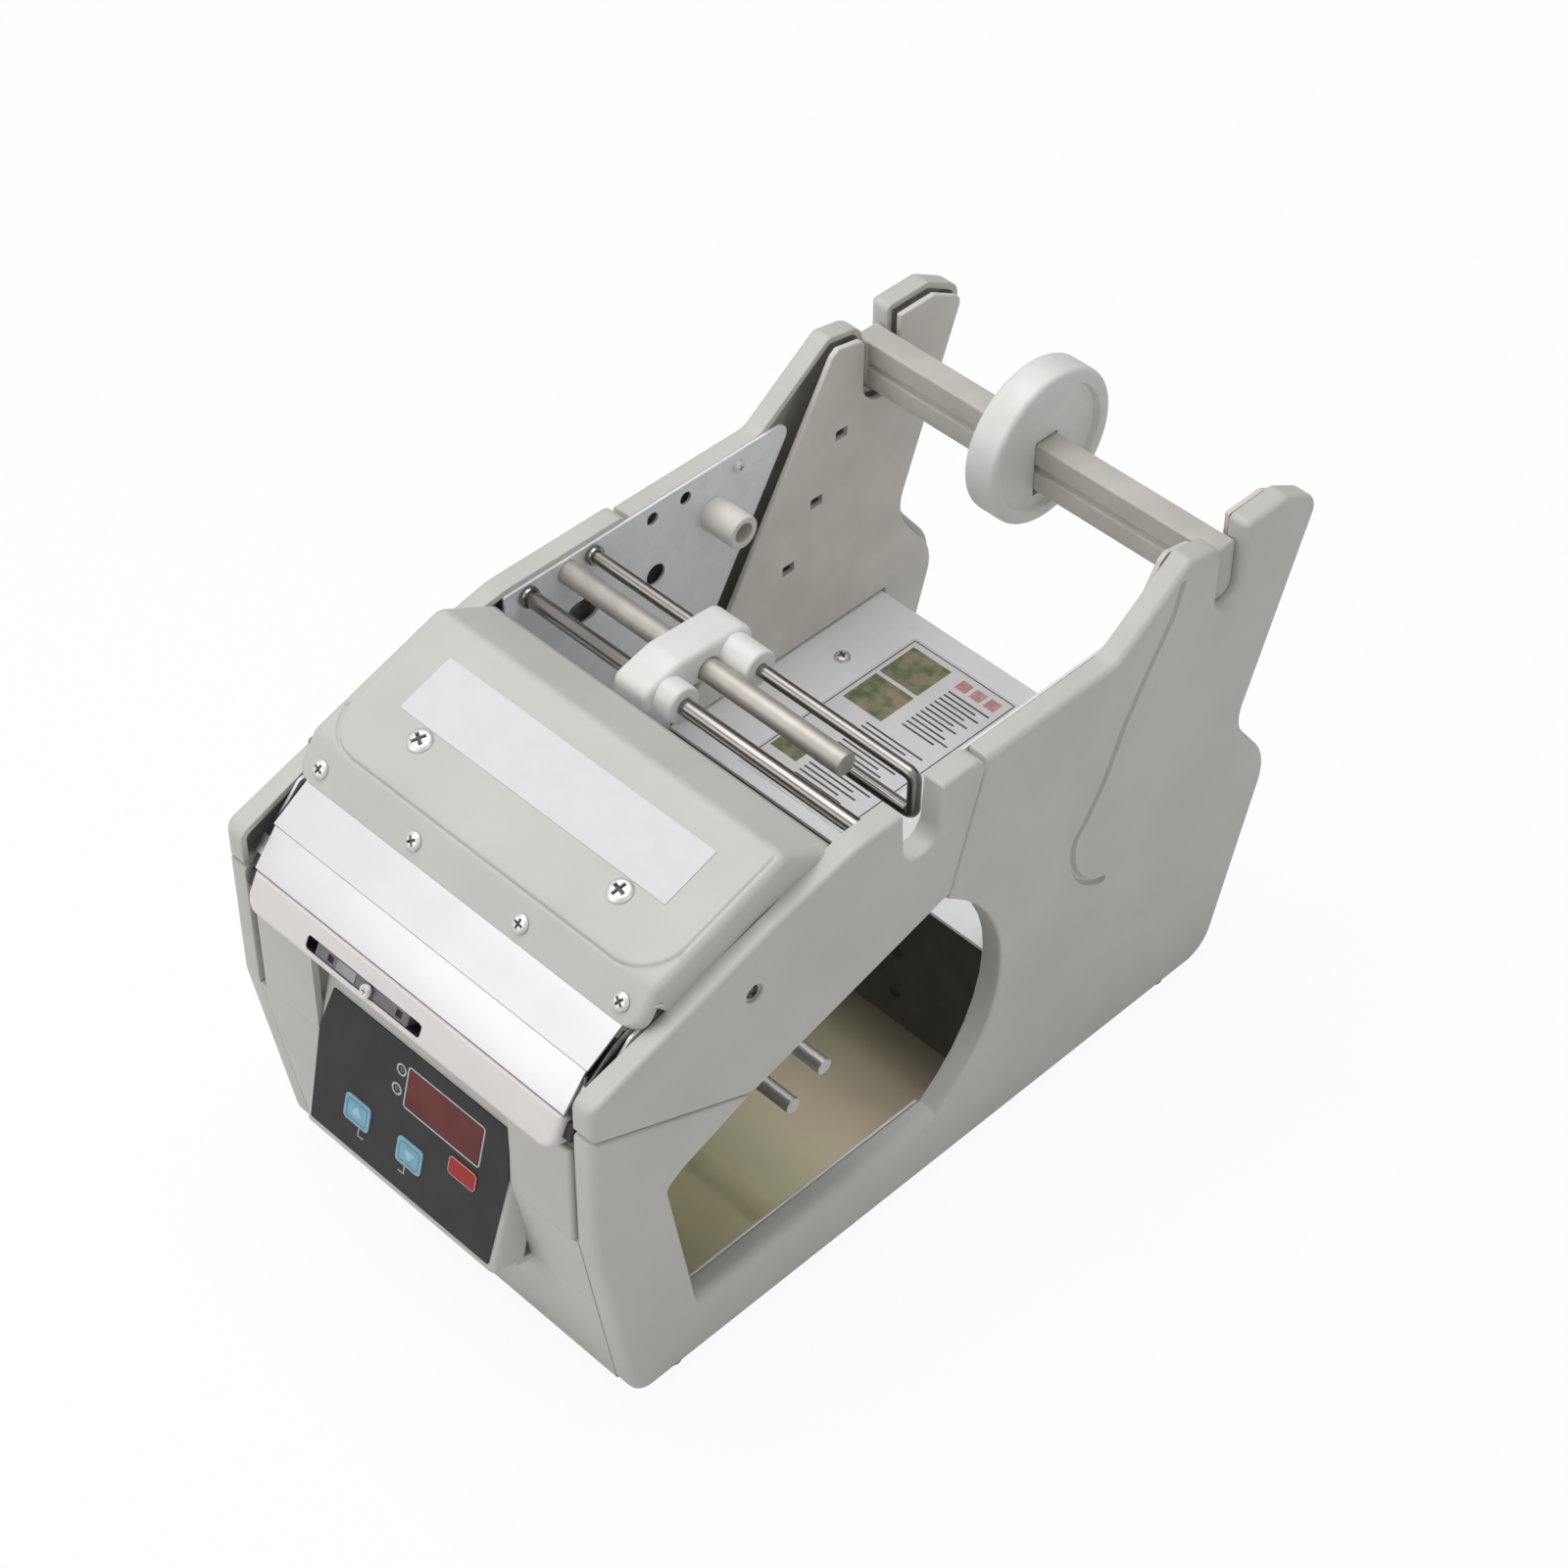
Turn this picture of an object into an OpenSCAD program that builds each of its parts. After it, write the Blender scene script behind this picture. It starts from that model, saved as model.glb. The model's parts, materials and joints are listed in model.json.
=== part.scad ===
// Desk-top label dispenser: two moulded side panels with rear arms carry a lift-off roll bar.
// The backed label web runs over three rods, under the deck cover and round the peel edge.
// The labels part from it there, and the bare backing winds up on the fork in the lower bay.
// Drawing frame: X across, Y from the front face rearwards, Z up from the panels' bottom edge.

/* [Case] */
// Width over both side panels
machine_w = 200; // [190:1:230]
// Thickness of a side panel
panel_t = 10; // [9:0.5:12]
// Moulded wall of panels and covers
wall = 2.5; // [2:0.25:3]
// Rim round the edge of each moulded panel
rim = 3; // [2.5:0.25:3.5]
// Length of the base, front face to rear corner
base_l = 347; // [340:1:370]
// Height of the arm tops
arm_h = 238.5; // [236:0.5:246]
// Height of the level shoulder in front of the arms
shoulder_h = 213.5; // [212:0.5:216]
// Diameter of a rubber foot
foot_d = 8; // [6:0.5:9]
// Height of a rubber foot
foot_h = 2.5; // [2:0.25:4]

/* [Sheet metal] */
// Thickness of the frame, floor and rear sheets
sheet_t = 1.2; // [0.8:0.1:1.5]
// Height of the floor plate's top face
floor_z = 13; // [11:0.5:16]
// Height of the rear box's top face
box_h = 90; // [84:1:92]
// Front face of the rear box
box_y = 216; // [214:1:222]

/* [Roll carrier] */
// Thickness of the flat roll bar
bar_w = 12; // [10:0.5:12.5]
// Depth of the flat roll bar
bar_h = 26; // [22:0.5:28]
// Diameter of the roll disc
disc_d = 69.4; // [60:0.2:74]
// Width of the roll disc
disc_t = 15.4; // [12:0.2:18]
// Height of the disc's centre over the bar's centre
disc_rise = 9.5; // [6:0.5:11]

/* [Rods] */
// Diameter of the front rod
front_rod_d = 7; // [5:0.5:8]
// Diameter of the free-ended guide rod
guide_rod_d = 10; // [8:0.5:11]
// Diameter of the wire bail
bail_d = 5.5; // [4:0.5:6]
// Distance between the two legs of the bail
bail_drop = 19.5; // [17:0.5:21]
// Length of the guide rod inside the machine
guide_rod_l = 150; // [130:1:160]

/* [Paper guide] */
// Width of the guide's web
guide_t = 18; // [12:0.5:20]
// Distance of the guide's web from the middle of the machine
guide_x = 20; // [15:1:30]

/* [Display] */
// Half width of the display block
block_half = 54.5; // [53.5:0.5:58]
// Lean of the display face from upright, degrees
display_lean = 14.5; // [13:0.5:16]
// Travel of a key
key_travel = 0.6; // [0.4:0.1:0.8]

/* [Drive] */
// Radius of the rubber drive roller
drive_r = 12; // [10:0.5:12.5]
// Radius of the pinch roller
pinch_r = 9; // [7:0.5:9.5]
// Radius of the motor's pulley
motor_pulley_r = 7; // [6:0.5:8]
// Radius of the drive roller's pulley
drive_pulley_r = 11; // [9:0.5:12]
// Radius of the rewind fork's pulley
rewind_pulley_r = 14; // [12:0.5:16]
// Distance between the two pins of the rewind fork
fork_span = 19.2; // [17:0.2:22]
// Diameter of a fork pin
fork_pin_d = 7; // [5:0.5:8]

/* [Hidden] */
$fn = 48;
arc_steps = 6;
eps = 0.01;

// Clearances
fit = 0.05;
seam_gap = 0.7;
play = 0.3;
touch = 0.1;

// Widths, from the middle of the machine outwards
half_w = machine_w / 2;
panel_x = half_w - panel_t;
pocket_x = half_w - wall;
plate_out = panel_x - touch;
plate_x = plate_out - sheet_t;
inner_x = plate_x - touch;
deck_x = panel_x + wall;
liner_x = panel_x - 5;
front_x = plate_x - play;
lip_x = plate_x - 4.4;

// Side view: front edge, arms and the slot that the roll bar drops into
toe_y = 16.5;
knee_z = 100;
slot_w = 14;
slot_y = base_l - 12.5;
seat_z = arm_h - 35.5;
seam_front_z = shoulder_h - 51.5;
head_top = shoulder_h + 2;
seam_rear = [181, shoulder_h - 58];
seam_low = [78, shoulder_h - 87];
screw_cover = [79, shoulder_h - 34.5];
side_outline = [
    [toe_y, 0, 10], [base_l, 0, 16], [base_l + 28, 96, 16], [base_l + 3, 129, 8],
    [base_l + 39, arm_h - 11.5, 8], [base_l + 19, arm_h, 5], [slot_y + slot_w / 2, arm_h, 3],
    [slot_y + slot_w / 2, seat_z, slot_w / 2 - touch],
    [slot_y - slot_w / 2, seat_z, slot_w / 2 - touch],
    [slot_y - slot_w / 2, arm_h - 1.5, 8], [base_l - 39, arm_h + 2.5, 5],
    [base_l - 78, shoulder_h, 12], [196, shoulder_h, 0], [10, seam_front_z + 6, 0],
    [0, seam_front_z + 6, 0], [0, knee_z, 14]];
head_outline = [
    [0, seam_front_z, 3], [seam_low[0], seam_low[1], 8], [seam_rear[0], seam_rear[1], 2],
    [198.5, head_top, 7], [132, head_top, 40], [88, head_top - 9.5, 60],
    [0, head_top - 38, 6]];
notch_outline = [[155, shoulder_h - 25.5, 8], [173, shoulder_h - 25.5, 8],
    [175, head_top + 10, 0], [153, head_top + 10, 0]];

// Window in the right side panel
window_floor = 30;
window_front = 49;
window_c = [137, 91];
window_r = 75;
window_half_angle = 54.4;
window_arc = [for (i = [0 : 12]) let (a = -window_half_angle + i * window_half_angle / 6)
    [window_c[0] + window_r * cos(a), window_c[1] + window_r * sin(a), 0]];
window_outline = concat([[window_front, window_floor, 4]], window_arc,
    [[seam_rear[0], seam_rear[1] + 8, 0], [seam_low[0], seam_low[1] + 10, 0],
    [77, seam_low[1] - 0.5, 0], [43, 113, 8], [35, 108, 5]]);

// Frame plates
frame_outline = [
    [20.5, 8, 2], [base_l - 9, 8, 2], [base_l - 9, box_h - 2.2, 1], [box_y - 3, box_h - 2.2, 4],
    [base_l - 60, shoulder_h, 5], [131.5, shoulder_h - 0.5, 1], [131.5, shoulder_h - 9, 0],
    [28.4, shoulder_h - 26.3, 3], [10, shoulder_h - 45.5, 4], [5, shoulder_h - 63.5, 4],
    [5, knee_z + 1, 10]];
boss_spots = [[base_l - 91, shoulder_h - 7.5], [30, 70], [225, 30], [base_l - 17, 30],
    [base_l - 17, 78]];
boss_r = 4;
screw_r = 1.5;

// Rods and rollers, seen from the side
front_rod_at = [143, shoulder_h - 5.8];
guide_rod_at = [164, shoulder_h - 6.5];
bail_at = [177, shoulder_h - 5.5];
drive_at = [32, shoulder_h - 61.5];
pinch_at = [32, drive_at[1] - drive_r - pinch_r - 0.5];
shaft_r = 3;
motor_at = [80, shoulder_h - 53.5];
rewind_at = [128, 73];
rewind_shaft_r = 4;
fork_angle = 28;
deck_rod_at = [112, shoulder_h - 18.5];
deck_rod_r = 4;

// Deck cover: bottom front, front crease, rear crease, rear edge, and the lower edge of its sides
deck_front = [28.4, shoulder_h - 23.8];
deck_crease = [39.4, shoulder_h - 8];
deck_ridge = [102, shoulder_h + 12.5];
deck_rear = [126.9, shoulder_h - 1.3];
deck_foot = [125, shoulder_h - 6.5];
deck_low = [39, shoulder_h - 29];
deck_side = [deck_front, deck_low, deck_foot, deck_rear, deck_ridge, deck_crease];
ledge_gap = 0.6;
pad_angle = atan2(deck_ridge[1] - deck_crease[1], deck_ridge[0] - deck_crease[0]);
brow_angle = atan2(deck_crease[1] - deck_front[1], deck_crease[0] - deck_front[0]);
web_depth = 8;
label_half = 70.5;
label_from = 25.8;
label_to = 52.4;
small_screw_x = [28.8, half_w - 19.2];
small_screw_up = 7.5;
small_head_r = 3.7;
large_screw_x = 53.3;
large_screw_up = 20.1;
large_head_r = 5.3;
shank_r = 2;
head_bar_s = 12;

// Peel plates and the lip under them
peel_seam = [12.1, shoulder_h - 34.8];
peel_edge = [0.9, shoulder_h - 49.2];
lip_top = [0.6, shoulder_h - 50.1];
lip_lean = 25.9;
lip_h = 16;
lip_d = 8;
slot_x0 = -50;
slot_x1 = 13;
sensor_slot = [7, 13];
sensor_l = 51;
sensor_x0 = -45;
sensor_screw_x = -15.5;
wire_r = 1.1;

// Front panel and display block
front_top = shoulder_h - 66.5;
front_low = 3;
front_wall = 3;
front_back = 20;
display_at = [-2.85, 91.35];
block_low = 57;
block_under = [8.1, 52];
function display_y(z) = display_at[0] + (z - display_at[1]) * tan(display_lean);
block_lip = [display_y(block_low), block_low, 3];
overlay_t = 0.6;
overlay_half = [50.8, 53.3, 48.7];
overlay_v = [-31, 12.3, 33];
window_box = [-3.4, 7.5, 37.3, 25];
up_box = [-33.5, -18, -19.3, -6];
down_box = [-3.6, -18, 10.4, -6];
reset_box = [23.4, -5, 38.5, 3.5];
led_spots = [[-7.7, 21.7], [-8.7, 12]];
led_r = 1.5;
board_depth = 9;
board_half = 48;
board_v = [-28, 30];
board_posts = [[-44, -24], [44, -24], [-44, 26], [44, 26]];
post_r = 3;
pcb_t = 1.6;

// Belts run beside each other on the motor's pulley
belt_w = 4;
belt_t = 1.2;
drive_belt_x = -inner_x + 3.5;
rewind_belt_x = drive_belt_x + 5;
bracket_x = rewind_belt_x + 6.5;
motor_r = 18.5;
motor_l = 56;
motor_shaft_r = 2.5;

// Rear panel fittings
rear_y = base_l - 8;
jack_at = [-half_w + 40, 50];
jack_r = 5.5;
switch_at = [half_w - 60, 50];
switch_half = [7.5, 10.5];
rocker_tilt = 8;
plate_screw_x = half_w - 32;
plate_screw_y = base_l - 50;
sticker_box = [-55, box_y + 6, 5.5, base_l - 19];

// Power board: low corner, size, legs and the block of its transformer
supply_at = [-half_w + 40, box_y + 20, floor_z + 6];
supply_size = [100, 80];
supply_leg = 4;
coil_at = [15, 15];
coil_size = [45, 40, 34.4];

// Geometry helpers
function unit(v) = v / norm(v);
function left(v) = [-v[1], v[0]];
function flat(p) = [p[0], p[1]];

// The arc of radius r that rounds corner b between a and c
function corner(a, b, c, r) =
    let (u = unit(a - b))
    let (v = unit(c - b))
    let (half = acos(max(-1, min(1, u * v))) / 2)
    let (centre = b + unit(u + v) * r / sin(half))
    let (from = b + u * r / tan(half) - centre)
    let (to = b + v * r / tan(half) - centre)
    let (a0 = atan2(from[1], from[0]))
    let (sweep = (atan2(to[1], to[0]) - a0 + 540) % 360 - 180)
    [for (i = [0 : arc_steps]) let (t = a0 + sweep * i / arc_steps)
        centre + r * [cos(t), sin(t)]];

// Points of an outline whose corners are [y, z, radius]
function rounded(pts) =
    [for (i = [0 : len(pts) - 1])
        let (n = len(pts))
        let (a = flat(pts[(i + n - 1) % n]))
        let (c = flat(pts[(i + 1) % n]))
        each (pts[i][2] > 0 ? corner(a, flat(pts[i]), c, pts[i][2]) : [flat(pts[i])])];

// The same outline, counter-clockwise, moved inwards by d, or outwards where d is negative
function inset(pts, d) =
    [for (i = [0 : len(pts) - 1])
        let (n = len(pts))
        let (b = flat(pts[i]))
        let (n1 = left(unit(b - flat(pts[(i + n - 1) % n]))))
        let (n2 = left(unit(flat(pts[(i + 1) % n]) - b)))
        let (convex = n1[0] * n2[1] - n1[1] * n2[0] > 0)
        let (p = b + (n1 + n2) * d / (1 + n1 * n2))
        let (r = pts[i][2] == 0 ? 0 : max(0, convex ? pts[i][2] - d : pts[i][2] + d))
        [p[0], p[1], r]];

// Outline of a belt round two pulleys, as a list of points
function belt_loop(a, ra, b, rb) =
    let (phi = atan2(b[1] - a[1], b[0] - a[0]))
    let (beta = acos((ra - rb) / norm(b - a)))
    concat(
        [for (i = [0 : 24]) let (t = phi + beta + (360 - 2 * beta) * i / 24) a + ra * [cos(t), sin(t)]],
        [for (i = [0 : 24]) let (t = phi - beta + 2 * beta * i / 24) b + rb * [cos(t), sin(t)]]);

overlay_reach = display_at[0] + overlay_v[0] * sin(display_lean) - overlay_t * cos(display_lean);
front_reach = min(overlay_reach, min([for (p = rounded([[display_y(front_top), front_top, 0],
    block_lip, [block_under[0], block_under[1], 0]])) p[0]]));
rear_reach = max([for (p = rounded(side_outline)) p[0]]);

// Moves the drawing frame so that the origin is under the middle of the machine
module place() {
    translate([0, -(front_reach + rear_reach) / 2, foot_h]) children();
}

// A side-view outline carried from x0 to x1
module slab(x0, x1, outline) {
    translate([x0, 0, 0]) rotate([90, 0, 90]) linear_extrude(x1 - x0) polygon(outline);
}

// A round bar along X
module bar(x0, x1, at, r) {
    translate([x0, at[0], at[1]]) rotate([0, 90, 0]) cylinder(h = x1 - x0, r = r);
}

module both_sides() {
    children();
    mirror([1, 0, 0]) children();
}

// A box from one low corner to one high corner
module block(low, high) {
    translate(low) cube(high - low);
}

// Local frame on the deck's pad: Y up the slope from the front crease, Z out of it
module on_pad() {
    translate([0, deck_crease[0], deck_crease[1]]) rotate([pad_angle, 0, 0]) children();
}

// Local frame on the deck's steep front face: Y up the face, Z out of it
module on_brow() {
    translate([0, deck_front[0], deck_front[1]]) rotate([brow_angle, 0, 0]) children();
}

// Local frame on the lip: Y into the beam, Z up its face
module on_lip() {
    translate([0, lip_top[0], lip_top[1]]) rotate([-lip_lean, 0, 0]) children();
}

// Local frame on the display: Y up the face, Z out of it
module on_display() {
    translate([0, display_at[0], display_at[1]]) rotate([90 - display_lean, 0, 0]) children();
}

// A cross-headed screw at the origin, head up: head radius and height, shank radius and length
module screw(head_r, head_h, shank, length) {
    difference() {
        union() {
            cylinder(h = head_h * 0.6, r = head_r);
            translate([0, 0, head_h * 0.6 - eps]) cylinder(h = head_h * 0.4, r = head_r * 0.8);
            translate([0, 0, -length]) cylinder(h = length + eps, r = shank);
        }
        for (a = [0, 90]) rotate([0, 0, a]) translate([-head_r * 0.5, -head_r * 0.1, head_h * 0.4])
            cube([head_r, head_r * 0.2, head_h]);
    }
}

// Side panel on the right; the window is cut where asked
module side_panel(windowed) {
    difference() {
        slab(panel_x, half_w, rounded(side_outline));
        difference() {
            slab(panel_x - 1, pocket_x, rounded(inset(side_outline, rim)));
            slab(panel_x - 2, half_w, rounded(inset(head_outline, -rim - seam_gap)));
            if (windowed) slab(panel_x - 2, half_w, rounded(inset(window_outline, -rim)));
            for (p = boss_spots) bar(panel_x - 2, half_w, p, boss_r);
        }
        slab(panel_x - 1, half_w + 1, rounded(inset(head_outline, -seam_gap)));
        if (windowed) slab(panel_x - 1, half_w + 1, rounded(window_outline));
        for (p = boss_spots) bar(panel_x - 1, pocket_x - 1, p, screw_r + fit);
    }
}

module side_panel_left() {
    color("#d2cfc9") mirror([1, 0, 0]) side_panel(false);
}

module side_panel_right() {
    color("#d2cfc9") side_panel(true);
}

// Head cover on the right, over the front of the side panel; the notch lets the web's edge show,
// and a rebate takes the side of the deck cover
module head_cover(notched) {
    difference() {
        slab(panel_x, half_w, rounded(head_outline));
        difference() {
            slab(panel_x - 1, pocket_x, rounded(inset(head_outline, rim)));
            bar(panel_x - 2, half_w, screw_cover, boss_r + 1);
            if (notched) slab(panel_x - 2, half_w, rounded(inset(notch_outline, -rim)));
        }
        bar(panel_x - 1, half_w + 1, screw_cover, screw_r + fit);
        bar(half_w - wall / 2, half_w + 1, screw_cover, boss_r);
        if (notched) slab(panel_x - 1, half_w + 1, rounded(notch_outline));
        slab(panel_x - 1, deck_x + ledge_gap, [for (p = inset([for (q = deck_side) [q[0], q[1], 0]], -ledge_gap)) flat(p)]);
    }
}

module head_cover_left() {
    color("#d2cfc9") mirror([1, 0, 0]) head_cover(false);
}

module head_cover_right() {
    color("#d2cfc9") head_cover(true);
}

// Sheet-metal side frame on the right, with the holes of everything that crosses the machine
module frame_plate(windowed) {
    difference() {
        slab(plate_x, plate_out, rounded(frame_outline));
        if (windowed) slab(plate_x - 1, panel_x, rounded(inset(window_outline, -rim)));
        bar(plate_x - 1, panel_x, front_rod_at, front_rod_d / 2 + fit);
        bar(plate_x - 1, panel_x, deck_rod_at, deck_rod_r + fit);
        bar(plate_x - 1, panel_x, drive_at, shaft_r + 2 + fit);
        bar(plate_x - 1, panel_x, pinch_at, shaft_r + 2 + fit);
        for (p = boss_spots) bar(plate_x - 1, panel_x, p, screw_r + touch);
    }
}

module frame_plate_left() {
    color("#aab0b4") mirror([1, 0, 0]) difference() {
        frame_plate(false);
        bar(plate_x - 1, panel_x, guide_rod_at, guide_rod_d / 2 + fit);
        bar(plate_x - 1, panel_x, bail_at, bail_d / 2 + fit);
        bar(plate_x - 1, panel_x, rewind_at, rewind_shaft_r + fit);
        for (p = [[227, 3], [209, 3], [210, 5]])
            bar(plate_x - 1, panel_x, [p[0], shoulder_h - (p[1] == 5 ? 36.5 : 7)], p[1]);
        slab(plate_x - 1, panel_x, rounded([[162, shoulder_h - 37.5, 5.9], [180, shoulder_h - 37.5, 5.9],
            [180, shoulder_h - 25.5, 5.9], [162, shoulder_h - 25.5, 5.9]]));
    }
}

module frame_plate_right() {
    color("#aab0b4") difference() {
        frame_plate(true);
        slab(plate_x - 1, panel_x, rounded(inset(notch_outline, -2)));
    }
}

// Channel-shaped lining of the arm
module arm_liner() {
    arm_zone = [[222, box_h + 1], [base_l + 60, box_h + 1], [base_l + 60, arm_h + 20],
        [base_l - 40, arm_h + 20], [base_l - 44, shoulder_h + 17.5]];
    intersection() {
        difference() {
            slab(liner_x, plate_out, rounded(inset(side_outline, 4)));
            slab(liner_x - 1, plate_out - wall, rounded(inset(side_outline, 6)));
            for (p = [[base_l - 35.5, 193], [base_l - 49.5, 165], [base_l - 65.5, 138]])
                slab(liner_x - 1, panel_x, [for (q = [[-1.5, -3.5], [1.5, -3.5], [1.5, 3.5], [-1.5, 3.5]])
                    [p[0] + q[0] * cos(30) + q[1] * sin(30), p[1] - q[0] * sin(30) + q[1] * cos(30)]]);
        }
        slab(liner_x - 2, half_w, arm_zone);
    }
}

module arm_liner_left() {
    color("#8c8a86") mirror([1, 0, 0]) arm_liner();
}

module arm_liner_right() {
    color("#8c8a86") arm_liner();
}

module side_screws() {
    color("silver") both_sides() for (p = boss_spots)
        translate([plate_x, p[0], p[1]]) rotate([0, -90, 0]) screw(3.2, 1.8, screw_r, panel_t - 4);
}

// Deck cover: a deep pillow-shaped lid, open below
module deck_cover() {
    below_front = deck_front + (deck_front - deck_crease);
    below_rear = deck_rear + (deck_rear - deck_ridge);
    hollow = [for (p = [below_front, below_rear, deck_ridge, deck_crease]) [p[0], p[1], 0]];
    color("#d2cfc9") difference() {
        union() {
            slab(-deck_x, deck_x, [deck_front, deck_foot, deck_rear, deck_ridge, deck_crease]);
            both_sides() slab(panel_x, deck_x, deck_side);
        }
        slab(-panel_x, panel_x, [for (p = inset(hollow, wall)) flat(p)]);
        on_pad() both_sides() translate([large_screw_x, large_screw_up, -web_depth])
            cylinder(h = web_depth + 1, r = shank_r + 0.5 + fit);
        on_brow() both_sides() for (x = small_screw_x) translate([x, small_screw_up, -wall - 1])
            cylinder(h = wall + 2, r = shank_r + fit);
    }
}

module name_label() {
    color("white") on_pad() block([-label_half, label_from, 0], [label_half, label_to, 0.4]);
}

module deck_screws_small() {
    color("silver") on_brow() both_sides() for (x = small_screw_x)
        translate([x, small_screw_up, 0]) screw(small_head_r, 2, shank_r, wall + 6);
}

module deck_screws_large() {
    color("silver") on_pad() both_sides() translate([large_screw_x, large_screw_up, 0])
        screw(large_head_r, 2.6, shank_r + 0.5, web_depth + 3);
}

// Square bar across the frame: the deck's front screws go into it
module head_bar() {
    color("#9aa0a4") difference() {
        on_brow() block([-inner_x, small_screw_up - head_bar_s / 2, -wall - touch - head_bar_s],
            [inner_x, small_screw_up + head_bar_s / 2, -wall - touch]);
        on_brow() both_sides() for (x = small_screw_x)
            translate([x, small_screw_up, -wall - 8]) cylinder(h = 9, r = shank_r + fit);
    }
}

// Bent sheet under the deck that the web runs over
module web_plate() {
    half = inner_x - 2;
    slope = [cos(pad_angle), sin(pad_angle)];
    fall = unit(deck_rear - deck_ridge);
    start = deck_crease + 12 * slope - web_depth * left(slope);
    bend = deck_ridge - 3 * slope - web_depth * left(slope);
    end = bend + 36 * fall;
    color("#b4b9bc") difference() {
        union() {
            slab(-half, half, [start, bend, end, end - sheet_t * left(fall),
                bend - sheet_t * left(fall) - sheet_t * slope * 0.2, start - sheet_t * left(slope)]);
            both_sides() slab(half - sheet_t, half, [start + [6, -1], [56, deck_rod_at[1] - 8],
                [deck_rear[0] - 3, deck_rod_at[1] - 2], end - [8, -3.4], bend - [0, 0.5]]);
        }
        bar(-half - 1, half + 1, deck_rod_at, deck_rod_r + fit);
        on_pad() both_sides() translate([large_screw_x, large_screw_up, -web_depth - 6])
            cylinder(h = 8, r = shank_r + 0.5 + fit);
    }
}

module deck_rod() {
    color("silver") bar(-plate_out + touch, plate_out - touch, deck_rod_at, deck_rod_r);
}

// Bright sheet between the deck and the peel edge, turned down under the head bar
module peel_plate() {
    up = [cos(brow_angle), sin(brow_angle)];
    heel = deck_front + (small_screw_up - head_bar_s / 2) * up - (wall + touch) * left(up);
    back = heel - head_bar_s * left(up);
    color("#d8dadc") slab(-lip_x - 0.7, lip_x + 0.7, [peel_seam + [0.8, 0.6], deck_front - [0.2, 0.4],
        heel - 0.05 * up, back - 0.05 * up, back - sheet_t * up, heel - sheet_t * up - [0.3, 0],
        peel_seam + [1.5, -0.4]]);
}

// Polished strip whose lower edge peels the labels off
module peel_strip() {
    along = unit(peel_seam - peel_edge);
    color("#e2e4e6") slab(-lip_x, lip_x, [peel_seam, peel_edge, peel_edge - 1.5 * left(along),
        peel_seam - 1.5 * left(along)]);
}

module peel_bar() {
    along = unit(peel_seam - peel_edge);
    face = peel_edge + 5 * along - 1.6 * left(along);
    color("#9aa0a4") slab(-inner_x, inner_x, [face, face + 8 * along, face + 8 * along - 7 * left(along),
        face - 7 * left(along)]);
}

// Wire spring at the right end of the peel plates
module peel_wire() {
    x = plate_x - 0.5;
    spots = [[lip_x + 2.6, 10.5, peel_seam[1] - 4.2], [lip_x + 2.9, 14, peel_seam[1] - 0.2],
        [x - 0.6, 26.4, deck_front[1] + 1], [x - 0.6, 31.6, deck_front[1] + 8.6]];
    color("silver") for (i = [0 : len(spots) - 2]) let (d = spots[i + 1] - spots[i])
        translate(spots[i]) rotate([0, acos(d[2] / norm(d)), atan2(d[1], d[0])]) {
            cylinder(h = norm(d), r = wire_r);
            translate([0, 0, norm(d)]) sphere(r = wire_r);
        }
}

// Aluminium lip below the peel edge, with the slot that the sensor slides in
module sensor_beam() {
    section = rounded([[0, -lip_h, 3], [5.5, -lip_h, 1], [lip_d, -lip_h + 5, 0.8], [lip_d, 0, 0.8],
        [0, 0, 0.8]]);
    color("#c8cacb") on_lip() difference() {
        union() {
            slab(-lip_x - 0.3, lip_x + 0.3, section);
            both_sides() block([lip_x, 3, -9], [inner_x, lip_d, -2]);
        }
        block([slot_x0, -1, -sensor_slot[1]], [slot_x1, lip_d + 1, -sensor_slot[0]]);
    }
}

module label_sensor() {
    low = -sensor_slot[1] + play;
    high = -sensor_slot[0] - play;
    mid = (low + high) / 2;
    color("#3a3a3c") on_lip() difference() {
        union() {
            block([sensor_x0, -0.8, low], [sensor_x0 + sensor_l, lip_d + play + eps, high]);
            block([sensor_x0, lip_d + play, low], [sensor_x0 + sensor_l, lip_d + 1.5, high + 3]);
        }
        for (x = [8, sensor_l - 5]) translate([sensor_x0 + x, 0, mid]) rotate([90, 0, 0])
            cylinder(h = 3, r = 1.8);
        translate([sensor_screw_x, 5, mid]) rotate([90, 0, 0]) cylinder(h = 8, r = 1.2 + fit);
    }
}

module sensor_screw() {
    mid = -(sensor_slot[0] + sensor_slot[1]) / 2;
    color("silver") on_lip() translate([sensor_screw_x, -0.8, mid]) rotate([90, 0, 0])
        screw(2.6, 1.6, 1.2, 5);
}

// Space behind the front surface; d is the depth below it
module front_form(d) {
    side_face = rounded(inset([[0, front_top, 0], [0, knee_z, 14],
        [toe_y * (knee_z - front_low) / knee_z, front_low, 0], [front_back, front_low, 0],
        [front_back, front_top, 0]], 0));
    block_face = rounded([[display_y(front_top), front_top, 0], block_lip,
        [block_under[0], block_under[1], 0],
        [toe_y * (knee_z - front_low) / knee_z, front_low, 0], [front_back, front_low, 0],
        [front_back, front_top, 0]]);
    both_sides() translate([0, d, 0]) slab(block_half + d, front_x - d, side_face);
    translate([0, d * 1.05, d * 0.3]) slab(-block_half + d, block_half - d, block_face);
}

module key_hole(box) {
    block([box[0] - play, box[1] - play, -front_wall - 1], [box[2] + play, box[3] + play, 1]);
}

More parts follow.
